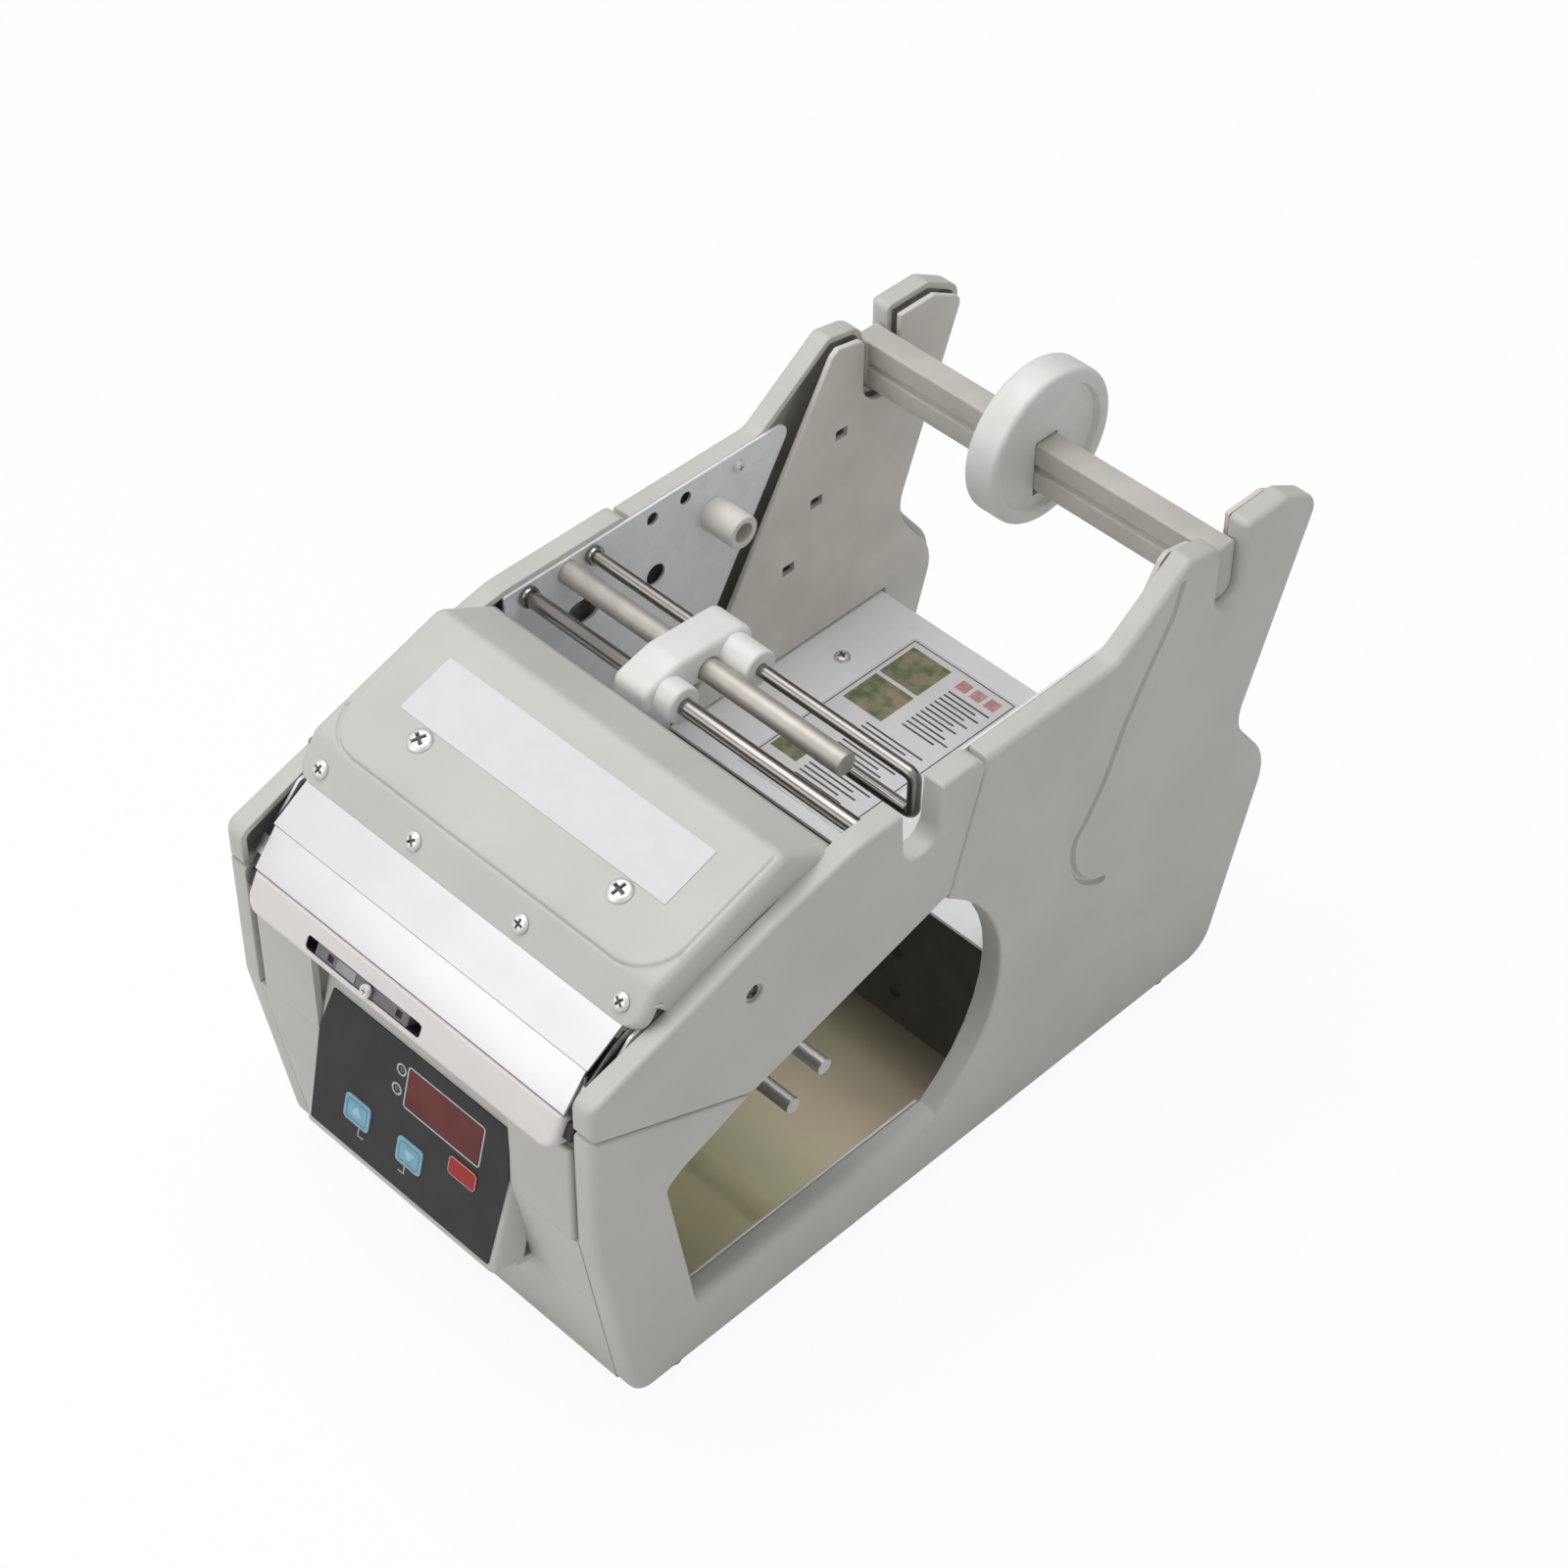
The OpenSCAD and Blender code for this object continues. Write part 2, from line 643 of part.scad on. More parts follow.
// Moulded front panel with its leaning display block
module front_panel() {
    deep = [[display_y(front_top + 6) + front_wall * 1.1, front_top + 6], [front_wall + 0.2, knee_z + 2],
        [front_wall + 0.2, knee_z], [block_under[0] + front_wall + 0.2, block_under[1]],
        [toe_y + front_wall, -1], [front_back + 9, -1], [front_back + 9, front_top + 6]];
    color("#cdcac4") {
        difference() {
            front_form(0);
            front_form(front_wall);
            translate([0, 0, 5]) front_form(front_wall);
            translate([0, front_wall * 0.4, -5]) front_form(front_wall);
            slab(-block_half - front_wall - 1, block_half + front_wall + 1, deep);
            on_display() {
                for (box = [up_box, down_box, reset_box, window_box]) key_hole(box);
                for (p = led_spots) translate([p[0], p[1], -6]) cylinder(h = 7, r = led_r + fit);
            }
        }
        on_display() for (p = board_posts) translate([p[0], p[1], -board_depth + touch])
            cylinder(h = board_depth - front_wall + 1, r = post_r);
    }
}

module display_overlay() {
    outline = [[-overlay_half[0], overlay_v[0]], [overlay_half[0], overlay_v[0]],
        [overlay_half[1], overlay_v[1]], [overlay_half[2], overlay_v[2]],
        [-overlay_half[2], overlay_v[2]], [-overlay_half[1], overlay_v[1]]];
    color("#3c3c3c") on_display() difference() {
        linear_extrude(overlay_t) polygon(outline);
        for (box = [up_box, down_box, reset_box, window_box]) key_hole(box);
        for (p = led_spots) translate([p[0], p[1], -1]) cylinder(h = 4, r = led_r + fit);
    }
}

module display_window() {
    color("#7d3a36") on_display() block([window_box[0], window_box[1], -1.4],
        [window_box[2], window_box[3], overlay_t + 0.1]);
}

module mode_leds() {
    color("#c03028") on_display() for (p = led_spots) translate([p[0], p[1], -board_depth + touch])
        cylinder(h = board_depth + overlay_t, r = led_r);
}

// Key cap with its stop flange and stem; shut against nothing it stands proud of the overlay
module key(box) {
    mid = [(box[0] + box[2]) / 2, (box[1] + box[3]) / 2];
    on_display() {
        block([box[0], box[1], -front_wall - play], [box[2], box[3], overlay_t + key_travel]);
        block([box[0] - 1, box[1] - 1, -front_wall - 1.2], [box[2] + 1, box[3] + 1, -front_wall - play]);
        translate([mid[0], mid[1], -board_depth + key_travel + touch])
            cylinder(h = board_depth - front_wall - key_travel - touch, r = 2);
    }
}

module up_key() {
    color("#7ab8d0") key(up_box);
}

module down_key() {
    color("#7ab8d0") key(down_box);
}

module reset_key() {
    color("#b02020") key(reset_box);
}

module digit_display() {
    color("#202020") on_display() block([window_box[0] + 1.5, window_box[1] + 1.5, -board_depth + touch],
        [window_box[2] - 1.5, window_box[3] - 1.5, -1.5]);
}

module control_board() {
    color("#2f6a3c") on_display() difference() {
        block([-board_half, board_v[0], -board_depth - pcb_t], [board_half, board_v[1], -board_depth]);
        for (p = board_posts) translate([p[0], p[1], -board_depth - pcb_t - 1])
            cylinder(h = 4, r = 1.5);
    }
}

module floor_plate() {
    color("#b9a870") {
        block([-inner_x, 20.5, floor_z - 1.5], [inner_x, rear_y - 1.5 - touch, floor_z]);
        both_sides() block([inner_x - sheet_t, 24, 4], [inner_x, rear_y - 6, floor_z - 1]);
    }
}

// Top and front of the rear box
module rear_housing() {
    color("#a9aeb2") difference() {
        union() {
            block([-front_x, box_y, box_h - 1.5], [front_x, rear_y + 0.5, box_h]);
            block([-front_x, box_y, floor_z + touch], [front_x, box_y + 1.5, box_h - 1]);
        }
        for (z = [30, 54]) translate([43, box_y - 1, z]) rotate([-90, 0, 0]) cylinder(h = 4, r = 2);
        both_sides() translate([plate_screw_x, plate_screw_y, box_h - 3]) cylinder(h = 4, r = shank_r + fit);
    }
}

module rear_panel() {
    color("#a9aeb2") difference() {
        union() {
            block([-front_x, rear_y - 1.5, floor_z + touch], [front_x, rear_y, box_h - 1.5 - touch]);
            both_sides() block([plate_screw_x - 8, plate_screw_y - 8, box_h - 1.6 - sheet_t],
                [plate_screw_x + 8, rear_y - 1, box_h - 1.6]);
        }
        translate([jack_at[0], rear_y - 3, jack_at[1]]) rotate([-90, 0, 0]) cylinder(h = 6, r = jack_r + fit);
        block([switch_at[0] - switch_half[0] + 1, rear_y - 3, switch_at[1] - switch_half[1] + 1],
            [switch_at[0] + switch_half[0] - 1, rear_y + 3, switch_at[1] + switch_half[1] - 1]);
        both_sides() translate([plate_screw_x, plate_screw_y, box_h - 6]) cylinder(h = 6, r = shank_r + fit);
    }
}

module instruction_sticker() {
    color("#e6e4dc") block([sticker_box[0], sticker_box[1], box_h], [sticker_box[2], sticker_box[3], box_h + 0.3]);
}

module rear_plate_screws() {
    color("silver") both_sides() translate([plate_screw_x, plate_screw_y, box_h])
        screw(small_head_r, 2, shank_r, 5);
}

module tube_boss() {
    at = [base_l - 105, shoulder_h - 23.5];
    color("#9c9c9a") difference() {
        bar(-inner_x, -inner_x + 17.5, at, 7.5);
        bar(-inner_x - 1, -inner_x + 19, at, 4.5);
    }
}

module front_rod() {
    color("silver") bar(-plate_out + touch, plate_out - touch, front_rod_at, front_rod_d / 2);
}

module guide_rod() {
    color("#8f9092") bar(-plate_out + touch, -inner_x + guide_rod_l, guide_rod_at, guide_rod_d / 2);
}

// Round wire bent to a U that lies on its side; the upper leg turns in the left frame plate
module wire_bail() {
    r = bail_d / 2;
    turn = 6;
    x = inner_x - 2.5 - r;
    low = bail_at - [0, bail_drop];
    color("silver") {
        bar(-plate_out + touch, x - turn, bail_at, r);
        translate([x - turn, bail_at[0], bail_at[1] - turn]) rotate([90, 0, 0])
            rotate_extrude(angle = 90) translate([turn, 0]) circle(r = r);
        translate([x, bail_at[0], low[1] + turn]) cylinder(h = bail_drop - 2 * turn, r = r);
        translate([x - turn, low[0], low[1] + turn]) rotate([90, 0, 0]) rotate([0, 0, -90])
            rotate_extrude(angle = 90) translate([turn, 0]) circle(r = r);
        bar(-inner_x + 8, x - turn, low, r);
    }
}

// Sliding nylon guide on the front rod and the bail's upper leg
module paper_guide() {
    x0 = -guide_x - guide_t / 2;
    front = deck_rear[0] + 4.5;
    back = bail_at[0] + 11;
    body = rounded([[front, front_rod_at[1] - 3.5, 4], [back, front_rod_at[1] - 8.5, 5],
        [back, shoulder_h + 3, 8], [150, shoulder_h + 5.5, 12], [front, shoulder_h + 0.5, 5]]);
    color("#f0efeb") difference() {
        union() {
            slab(x0, x0 + guide_t, body);
            bar(x0 + 1, x0 + guide_t + 9, front_rod_at, 8);
            bar(x0 + 1, x0 + guide_t + 15, bail_at, 8);
        }
        bar(x0 - 1, x0 + guide_t + 20, front_rod_at, front_rod_d / 2 + fit);
        bar(x0 - 1, x0 + guide_t + 20, bail_at, bail_d / 2 + fit);
        bar(x0 - 1, x0 + guide_t + 20, guide_rod_at, guide_rod_d / 2 + 0.5);
    }
}

// Flat roll bar with round-bottomed ends that drop into the arm slots
module roll_shaft() {
    low = seat_z + play;
    end_half = slot_w / 2 - 0.5;
    mid = rounded([[slot_y - bar_w / 2, low + 0.7, 4], [slot_y + bar_w / 2, low + 0.7, 4],
        [slot_y + bar_w / 2, low + bar_h, 1], [slot_y - bar_w / 2, low + bar_h, 1]]);
    tip = rounded([[slot_y - end_half, low, end_half - touch], [slot_y + end_half, low, end_half - touch],
        [slot_y + end_half, low + bar_h + 0.3, 1.5], [slot_y - end_half, low + bar_h + 0.3, 1.5]]);
    color("#dddcd8") {
        difference() {
            slab(-half_w + 10, half_w - 10, mid);
            for (s = [-1, 1]) translate([-half_w, slot_y + s * bar_w / 2 - 1.2, low + 0.55 * bar_h - 2])
                cube([machine_w, 2.4, 4]);
        }
        both_sides() slab(half_w - 12, half_w - 3, tip);
    }
}

// Eccentric disc that centres the label roll's core on the bar
module roll_disc() {
    r = disc_d / 2;
    bar_mid = seat_z + play + 0.35 + bar_h / 2;
    x0 = -disc_t / 2 - 1;
    section = [[0, 0], [r - 3, 0], [r - 1, 0.8], [r, 3], [r, disc_t - 3], [r - 1, disc_t - 0.8],
        [r - 3, disc_t], [r - 6, disc_t], [r - 8, disc_t - 3], [0, disc_t - 3]];
    color("#f0efeb") difference() {
        translate([x0, slot_y, bar_mid + disc_rise]) rotate([0, 90, 0]) rotate_extrude($fn = 96)
            polygon(section);
        block([x0 - 1, slot_y - bar_w / 2 - play, bar_mid - bar_h / 2 - play],
            [x0 + disc_t + 1, slot_y + bar_w / 2 + play, bar_mid + bar_h / 2 + play]);
    }
}

module drive_roller() {
    color("#3b3b3b") {
        bar(-inner_x + 12, inner_x - 4, drive_at, drive_r);
        bar(-plate_out + touch, plate_out - touch, drive_at, shaft_r);
    }
}

module pinch_roller() {
    color("#b7b9bb") {
        bar(-inner_x + 12, inner_x - 4, pinch_at, pinch_r);
        bar(-plate_out + touch, plate_out - touch, pinch_at, shaft_r);
    }
}

module roller_bushes() {
    color("#b08d4a") both_sides() for (at = [drive_at, pinch_at]) difference() {
        union() {
            bar(inner_x - 2, inner_x, at, shaft_r + 4);
            bar(inner_x - 1, plate_out, at, shaft_r + 2);
        }
        bar(inner_x - 3, panel_x, at, shaft_r + fit);
    }
}

// Belt pulley with two flanges; x0 is its left face
module pulley(x0, width, at, r, bore) {
    difference() {
        union() {
            bar(x0, x0 + width, at, r);
            bar(x0, x0 + 0.8, at, r + 1.5);
            bar(x0 + width - 0.8, x0 + width, at, r + 1.5);
        }
        bar(x0 - 1, x0 + width + 1, at, bore);
    }
}

module drive_pulley() {
    color("#e0ddd0") pulley(drive_belt_x - 1, belt_w + 2, drive_at, drive_pulley_r, shaft_r);
}

module rewind_pulley() {
    color("#e0ddd0") pulley(rewind_belt_x - 1, belt_w + 2, rewind_at, rewind_pulley_r, rewind_shaft_r);
}

module motor_pulley() {
    color("#e0ddd0") {
        pulley(drive_belt_x - 1, belt_w + 1, motor_at, motor_pulley_r, motor_shaft_r);
        pulley(rewind_belt_x - 1 + eps, belt_w + 2, motor_at, motor_pulley_r, motor_shaft_r);
        bar(drive_belt_x, bracket_x - 0.5, motor_at, motor_shaft_r);
    }
}

// Flat belt round two pulleys
module belt(x0, a, ra, b, rb) {
    difference() {
        slab(x0, x0 + belt_w - 1, belt_loop(a, ra + play + belt_t, b, rb + play + belt_t));
        slab(x0 - 1, x0 + belt_w + 1, belt_loop(a, ra + play, b, rb + play));
    }
}

module drive_belt() {
    color("#1e1e1e") belt(drive_belt_x, motor_at, motor_pulley_r, drive_at, drive_pulley_r);
}

module rewind_belt() {
    color("#1e1e1e") belt(rewind_belt_x + 0.5, motor_at, motor_pulley_r, rewind_at, rewind_pulley_r);
}

module motor() {
    color("#7c8084") {
        bar(bracket_x + 2.1, bracket_x + 2.1 + motor_l, motor_at, motor_r);
        bar(bracket_x - 0.3, bracket_x + 3, motor_at, 5);
    }
}

module motor_bracket() {
    color("#aab0b4") difference() {
        union() {
            slab(bracket_x, bracket_x + 2, rounded([[motor_at[0] - 26, motor_at[1] - 24, 3],
                [motor_at[0] + 26, motor_at[1] - 24, 3], [motor_at[0] + 26, motor_at[1] + 22, 3],
                [motor_at[0] - 26, motor_at[1] + 22, 3]]));
            for (p = [[-22, -20], [-22, 18], [22, 18]])
                bar(-inner_x, bracket_x + 1, motor_at + p, 2.8);
        }
        bar(bracket_x - 1, bracket_x + 3, motor_at, 5 + fit);
    }
}

// Two-pinned fork that the backing paper winds onto
module rewind_fork() {
    hub = rewind_belt_x + belt_w + 8;
    color("#c4c6c8") {
        bar(-plate_out + touch, hub + 1, rewind_at, rewind_shaft_r);
        bar(hub, hub + 4, rewind_at, fork_span / 2 + fork_pin_d / 2 + 2);
        for (s = [-1, 1]) {
            at = rewind_at + s * fork_span / 2 * [cos(fork_angle), sin(fork_angle)];
            bar(hub + 3, half_w - 20, at, fork_pin_d / 2);
        }
    }
}

module power_board() {
    color("#2f6a3c") block(supply_at, supply_at + [supply_size[0], supply_size[1], pcb_t]);
    color("#c8b26a") translate([coil_at[0], coil_at[1], pcb_t - eps]) block(supply_at, supply_at + coil_size);
    color("silver") for (x = [supply_leg, supply_size[0] - supply_leg]) for (y = [supply_leg, supply_size[1] - supply_leg])
        translate([supply_at[0] + x, supply_at[1] + y, floor_z + touch])
            cylinder(h = supply_at[2] - floor_z, r = 3);
}

module power_inlet() {
    color("#222222") translate([jack_at[0], rear_y, jack_at[1]]) rotate([-90, 0, 0]) {
        difference() {
            union() {
                translate([0, 0, -14]) cylinder(h = 15, r = jack_r);
                translate([0, 0, touch]) cylinder(h = 1.8, r = jack_r + 1.5);
            }
            translate([0, 0, -9]) cylinder(h = 12, r = 2.75);
        }
        translate([0, 0, -10]) cylinder(h = 10, r = 1);
    }
}

module switch_body() {
    half = switch_half;
    color("#222222") translate([switch_at[0], rear_y, switch_at[1]]) difference() {
        union() {
            block([-half[0], touch, -half[1]], [half[0], 1.6, half[1]]);
            block([-half[0] + 1.2, -12, -half[1] + 1.2], [half[0] - 1.2, 1, half[1] - 1.2]);
        }
        block([-half[0] + 2.2, -7, -half[1] + 2.2], [half[0] - 2.2, 4, half[1] - 2.2]);
    }
}

// Rocker on a cross pin, shown in its off position
module switch_rocker() {
    half = switch_half - [2.6, 2.9];
    pin = half[0] + play;
    color("#33363a") translate([switch_at[0], rear_y - 2.5, switch_at[1]]) rotate([rocker_tilt, 0, 0]) {
        slab(-half[0], half[0], [[-3, -2.5], [-1, -half[1]], [4, -half[1]], [3.2, 0], [4, half[1]],
            [-1, half[1]], [-3, 2.5]]);
        bar(-pin, pin, [0, 0], 1.2);
    }
}

module feet() {
    color("#2c2c2c") both_sides() for (y = [40, base_l - 27])
        translate([panel_x + panel_t / 2, y, -foot_h]) cylinder(h = foot_h, r = foot_d / 2);
}

place() side_panel_left();
place() side_panel_right();
place() head_cover_left();
place() head_cover_right();
place() deck_cover();
place() name_label();
place() deck_screws_small();
place() deck_screws_large();
place() head_bar();
place() web_plate();
place() deck_rod();
place() peel_plate();
place() peel_strip();
place() peel_bar();
place() peel_wire();
place() sensor_beam();
place() label_sensor();
place() sensor_screw();
place() front_panel();
place() display_overlay();
place() display_window();
place() mode_leds();
place() up_key();
place() down_key();
place() reset_key();
place() digit_display();
place() control_board();
place() floor_plate();
place() rear_housing();
place() rear_panel();
place() instruction_sticker();
place() rear_plate_screws();
place() frame_plate_left();
place() frame_plate_right();
place() arm_liner_left();
place() arm_liner_right();
place() tube_boss();
place() side_screws();
place() front_rod();
place() guide_rod();
place() wire_bail();
place() paper_guide();
place() roll_shaft();
place() roll_disc();
place() drive_roller();
place() pinch_roller();
place() roller_bushes();
place() drive_pulley();
place() rewind_fork();
place() rewind_pulley();
place() motor();
place() motor_bracket();
place() motor_pulley();
place() drive_belt();
place() rewind_belt();
place() power_board();
place() power_inlet();
place() switch_body();
place() switch_rocker();
place() feet();
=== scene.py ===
# %% [markdown]
# # A desk-top label dispenser
# The machine is a pair of moulded sides with sheet metal between them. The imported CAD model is
# loaded first and stays where it is: it gives every place and every moving body. This lesson
# dresses it. Pieces whose CAD shape is already right get a better material, and pieces whose
# moulded, turned or pressed form matters are made again as smooth surfaces.

# %% Load the frame
import json
from math import cos, pi, radians, sin

import bmesh
import bpy
import numpy as np
from mathutils import Matrix, Vector
from mathutils.geometry import delaunay_2d_cdt


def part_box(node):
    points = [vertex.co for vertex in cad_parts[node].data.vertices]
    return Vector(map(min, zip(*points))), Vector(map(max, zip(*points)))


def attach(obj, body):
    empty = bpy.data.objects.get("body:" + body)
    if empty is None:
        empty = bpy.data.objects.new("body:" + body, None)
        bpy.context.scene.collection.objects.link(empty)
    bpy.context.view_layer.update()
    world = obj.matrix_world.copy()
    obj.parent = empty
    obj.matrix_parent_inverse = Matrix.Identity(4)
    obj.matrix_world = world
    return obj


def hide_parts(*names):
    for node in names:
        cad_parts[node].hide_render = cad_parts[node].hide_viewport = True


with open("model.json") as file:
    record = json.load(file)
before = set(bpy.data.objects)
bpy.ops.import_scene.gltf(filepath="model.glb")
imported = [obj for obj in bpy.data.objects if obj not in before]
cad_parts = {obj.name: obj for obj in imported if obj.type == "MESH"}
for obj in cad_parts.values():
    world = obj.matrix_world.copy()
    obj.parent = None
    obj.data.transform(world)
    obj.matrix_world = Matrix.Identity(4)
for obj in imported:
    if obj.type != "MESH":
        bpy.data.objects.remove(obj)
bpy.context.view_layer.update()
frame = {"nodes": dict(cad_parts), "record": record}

nodes = frame["nodes"]
SLOT_OF = {part["node"]: part["material_slot"] for part in frame["record"]["subparts"]}

# %% [markdown]
# The part's drawing measures in millimetres from the front face and from the lower edge of the
# side panels. The frame's origin is under the middle of the machine, so one function takes
# drawing points to the frame. Every surface below is worked out in drawing millimetres.

# %% From drawing millimetres to the frame
ORIGIN = np.array([0.0, 186.4595, -2.5])
# Half widths to a panel's outer face, to its inner face and to the deck cover's flank
HALF, PANEL, DECK = 100.0, 90.0, 92.5
# Height of the panels where the arms begin
SHOULDER = 213.5


def place(points):
    """Moves drawing points to the frame's origin and turns millimetres to metres."""
    return (np.asarray(points, float) - ORIGIN) / 1000


front_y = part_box("display_overlay")[0].y * 1000 + ORIGIN[1]
print("front face of the overlay, y =", round(front_y, 2), "mm in the drawing")

# %% [markdown]
# Camera: the photograph looks down on the right front corner from about a metre and a half.
# Three turns give its direction: round the machine, down, and a slight roll.

# %% Camera
CAMERA_AT = Vector((0.7261, -0.72896, 1.1525))
ROUND, DOWN, ROLL = radians(44.6), radians(44.5), radians(0.6)
back = Vector((sin(ROUND) * cos(DOWN), -cos(ROUND) * cos(DOWN), sin(DOWN)))
level = (-back).cross(Vector((0, 0, 1))).normalized()
rise = level.cross(-back)
axis_x = cos(ROLL) * level + sin(ROLL) * rise
axis_y = -sin(ROLL) * level + cos(ROLL) * rise
camera_data = bpy.data.cameras.new("camera")
camera_data.lens, camera_data.sensor_width = 85.17, 36
camera = bpy.data.objects.new("camera", camera_data)
camera.matrix_world = Matrix.Translation(CAMERA_AT) @ Matrix((axis_x, axis_y, back)).transposed().to_4x4()
bpy.context.scene.collection.objects.link(camera)
bpy.context.scene.camera = camera
print("camera", [round(v, 3) for v in CAMERA_AT])

# %% [markdown]
# Light: a photo studio lights such a machine with large soft boxes, so that pale plastic shows
# its form in gentle steps. One big lamp hangs above and behind the left, a weaker one fills the
# front, and the sky fills the rest. The background is white to the camera and in reflections,
# but gives the object only a soft grey light.

# %% Sky and lamps
def add_node(tree, kind, links=(), **settings):
    """Adds a node, gives its settings or input values by name, and links (output, input name) pairs."""
    node = tree.nodes.new(kind)
    for key, value in settings.items():
        if hasattr(node, key):
            setattr(node, key, value)
        else:
            node.inputs[key.replace("_", " ")].default_value = value
    for source, name in links:
        tree.links.new(source, node.inputs[name])
    return node


def linear(code):
    """sRGB hex to linear red, green, blue: each channel c becomes ((c + 0.055) / 1.055) ** 2.4."""
    c = np.array([int(code[i:i + 2], 16) for i in (1, 3, 5)]) / 255
    low, high = c / 12.92, ((c + 0.055) / 1.055) ** 2.4
    return [float(v) for v in np.where(c <= 0.04045, low, high)] + [1.0]
def ramp_of(tree, source, spots, shades):
    """A colour ramp on a value from 0 to 1: each spot takes its shade."""
    node = add_node(tree, "ShaderNodeValToRGB", [(source, "Fac")])
    for stop, spot, shade in zip(node.color_ramp.elements, spots, shades):
        stop.position, stop.color = spot, linear(shade)
    return node


def mix(tree, share, one, other):
    """A shader that goes from one to other as the share goes from 0 to 1."""
    return add_node(tree, "ShaderNodeMixShader", [(share, 0), (one.outputs[0], 1), (other.outputs[0], 2)])


bpy.context.scene.view_settings.view_transform = "Standard"
world = bpy.data.worlds.new("studio")
bpy.context.scene.world = world
world.use_nodes = True
tree = world.node_tree
tree.nodes.clear()
path = add_node(tree, "ShaderNodeLightPath")
direct = [(path.outputs["Is Camera Ray"], 0), (path.outputs["Is Transmission Ray"], 1)]
seen = add_node(tree, "ShaderNodeMath", direct, operation="MAXIMUM")
soft = add_node(tree, "ShaderNodeBackground", Color=linear("#eef0f2"), Strength=0.36)
sky_at = add_node(tree, "ShaderNodeTexCoord")
tilt = add_node(tree, "ShaderNodeVectorMath", [(sky_at.outputs["Generated"], 0)], operation="DOT_PRODUCT")
tilt.inputs[1].default_value = (0.0, 0.9, -0.6)
room = ramp_of(tree, tilt.outputs["Value"], (0.0, 0.45), ("#e6e5e6", "#4f4b47"))
shiny = add_node(tree, "ShaderNodeBackground", [(room.outputs["Color"], "Color")], Strength=0.9)
white = add_node(tree, "ShaderNodeBackground", Color=linear("#ffffff"), Strength=1.0)
reflected = mix(tree, path.outputs["Is Glossy Ray"], soft, shiny)
sky = mix(tree, seen.outputs[0], reflected, white)
add_node(tree, "ShaderNodeOutputWorld", [(sky.outputs[0], "Surface")])


def lamp(name, at, towards, size, watts):
    """A square soft box at a point, facing another point."""
    data = bpy.data.lights.new(name, "AREA")
    data.size, data.energy = size, watts
    box = bpy.data.objects.new(name, data)
    facing = (Vector(at) - Vector(towards)).to_track_quat("Z", "Y").to_matrix().to_4x4()
    box.matrix_world = Matrix.Translation(at) @ facing
    bpy.context.scene.collection.objects.link(box)
    print("lamp", name, watts, "W")


lamp("top_box", (-0.32, -0.05, 1.8), (0, 0, 0.15), 1.3, 15.3)
lamp("front_box", (-0.6, -1.6, 0.9), (0, 0, 0.12), 1.2, 7.0)
lamp("right_box", (1.9, 0.1, 0.7), (0, 0, 0.12), 1.0, 3.2)

# %% [markdown]
# Floor: a plain pale board. The camera sees it almost white, and it keeps the soft shadow
# that the machine stands in.

# %% Floor
floor_mesh = bpy.data.meshes.new("floor")
floor_mesh.from_pydata([(-6, -6, 0), (6, -6, 0), (6, 6, 0), (-6, 6, 0)], [], [(0, 1, 2, 3)])
floor = bpy.data.objects.new("floor", floor_mesh)
bpy.context.scene.collection.objects.link(floor)
paint = bpy.data.materials.new("matt_white_board")
paint.use_nodes = True
tree = paint.node_tree
tree.nodes.clear()
path = add_node(tree, "ShaderNodeLightPath")
lift = add_node(tree, "ShaderNodeMath", [(path.outputs["Is Camera Ray"], 0)], operation="MULTIPLY")
lift.inputs[1].default_value = 0.9
matt = add_node(tree, "ShaderNodeBsdfDiffuse", Color=linear("#ededed"))
glow = add_node(tree, "ShaderNodeEmission", Color=linear("#ffffff"), Strength=1.03)
mixed = mix(tree, lift.outputs[0], matt, glow)
add_node(tree, "ShaderNodeOutputMaterial", [(mixed.outputs[0], "Surface")])
floor_mesh.materials.append(paint)
print("floor laid")

# %% [markdown]
# ## Surfaces
# Sheet, moulded and turned parts are all an outline carried along a line. An outline is a list
# of corners with a radius each. Rounding them, moving the sides inwards, and stacking the rings
# that come out gives a solid with soft edges. This is how a mould or a press tool is cut, and it
# keeps every edge radius a number in millimetres.

# %% Outlines
def unit(v):
    """Each row divided by its length."""
    return v / np.maximum(np.linalg.norm(v, axis=-1, keepdims=True), 1e-12)


def arcs(corners, steps=8):
    """Rounds each corner: the arc's centre lies on the bisector, radius / sin(half angle) away."""
    p = np.array(corners, float)
    b, r = p[:, :2], p[:, 2:3]
    u, v = unit(np.roll(b, 1, 0) - b), unit(np.roll(b, -1, 0) - b)
    half = np.arccos(np.clip((u * v).sum(1, keepdims=True), -1, 1)) / 2
    centre = b + unit(u + v) * r / np.sin(half)
    start, stop = b + u * r / np.tan(half) - centre, b + v * r / np.tan(half) - centre
    a0 = np.arctan2(start[:, 1], start[:, 0])[:, None]
    sweep = (np.arctan2(stop[:, 1], stop[:, 0])[:, None] - a0 + pi) % (2 * pi) - pi
    t = a0 + sweep * np.linspace(0, 1, steps)
    return (centre[:, None] + r[:, None] * np.stack([np.cos(t), np.sin(t)], 2)).reshape(-1, 2)


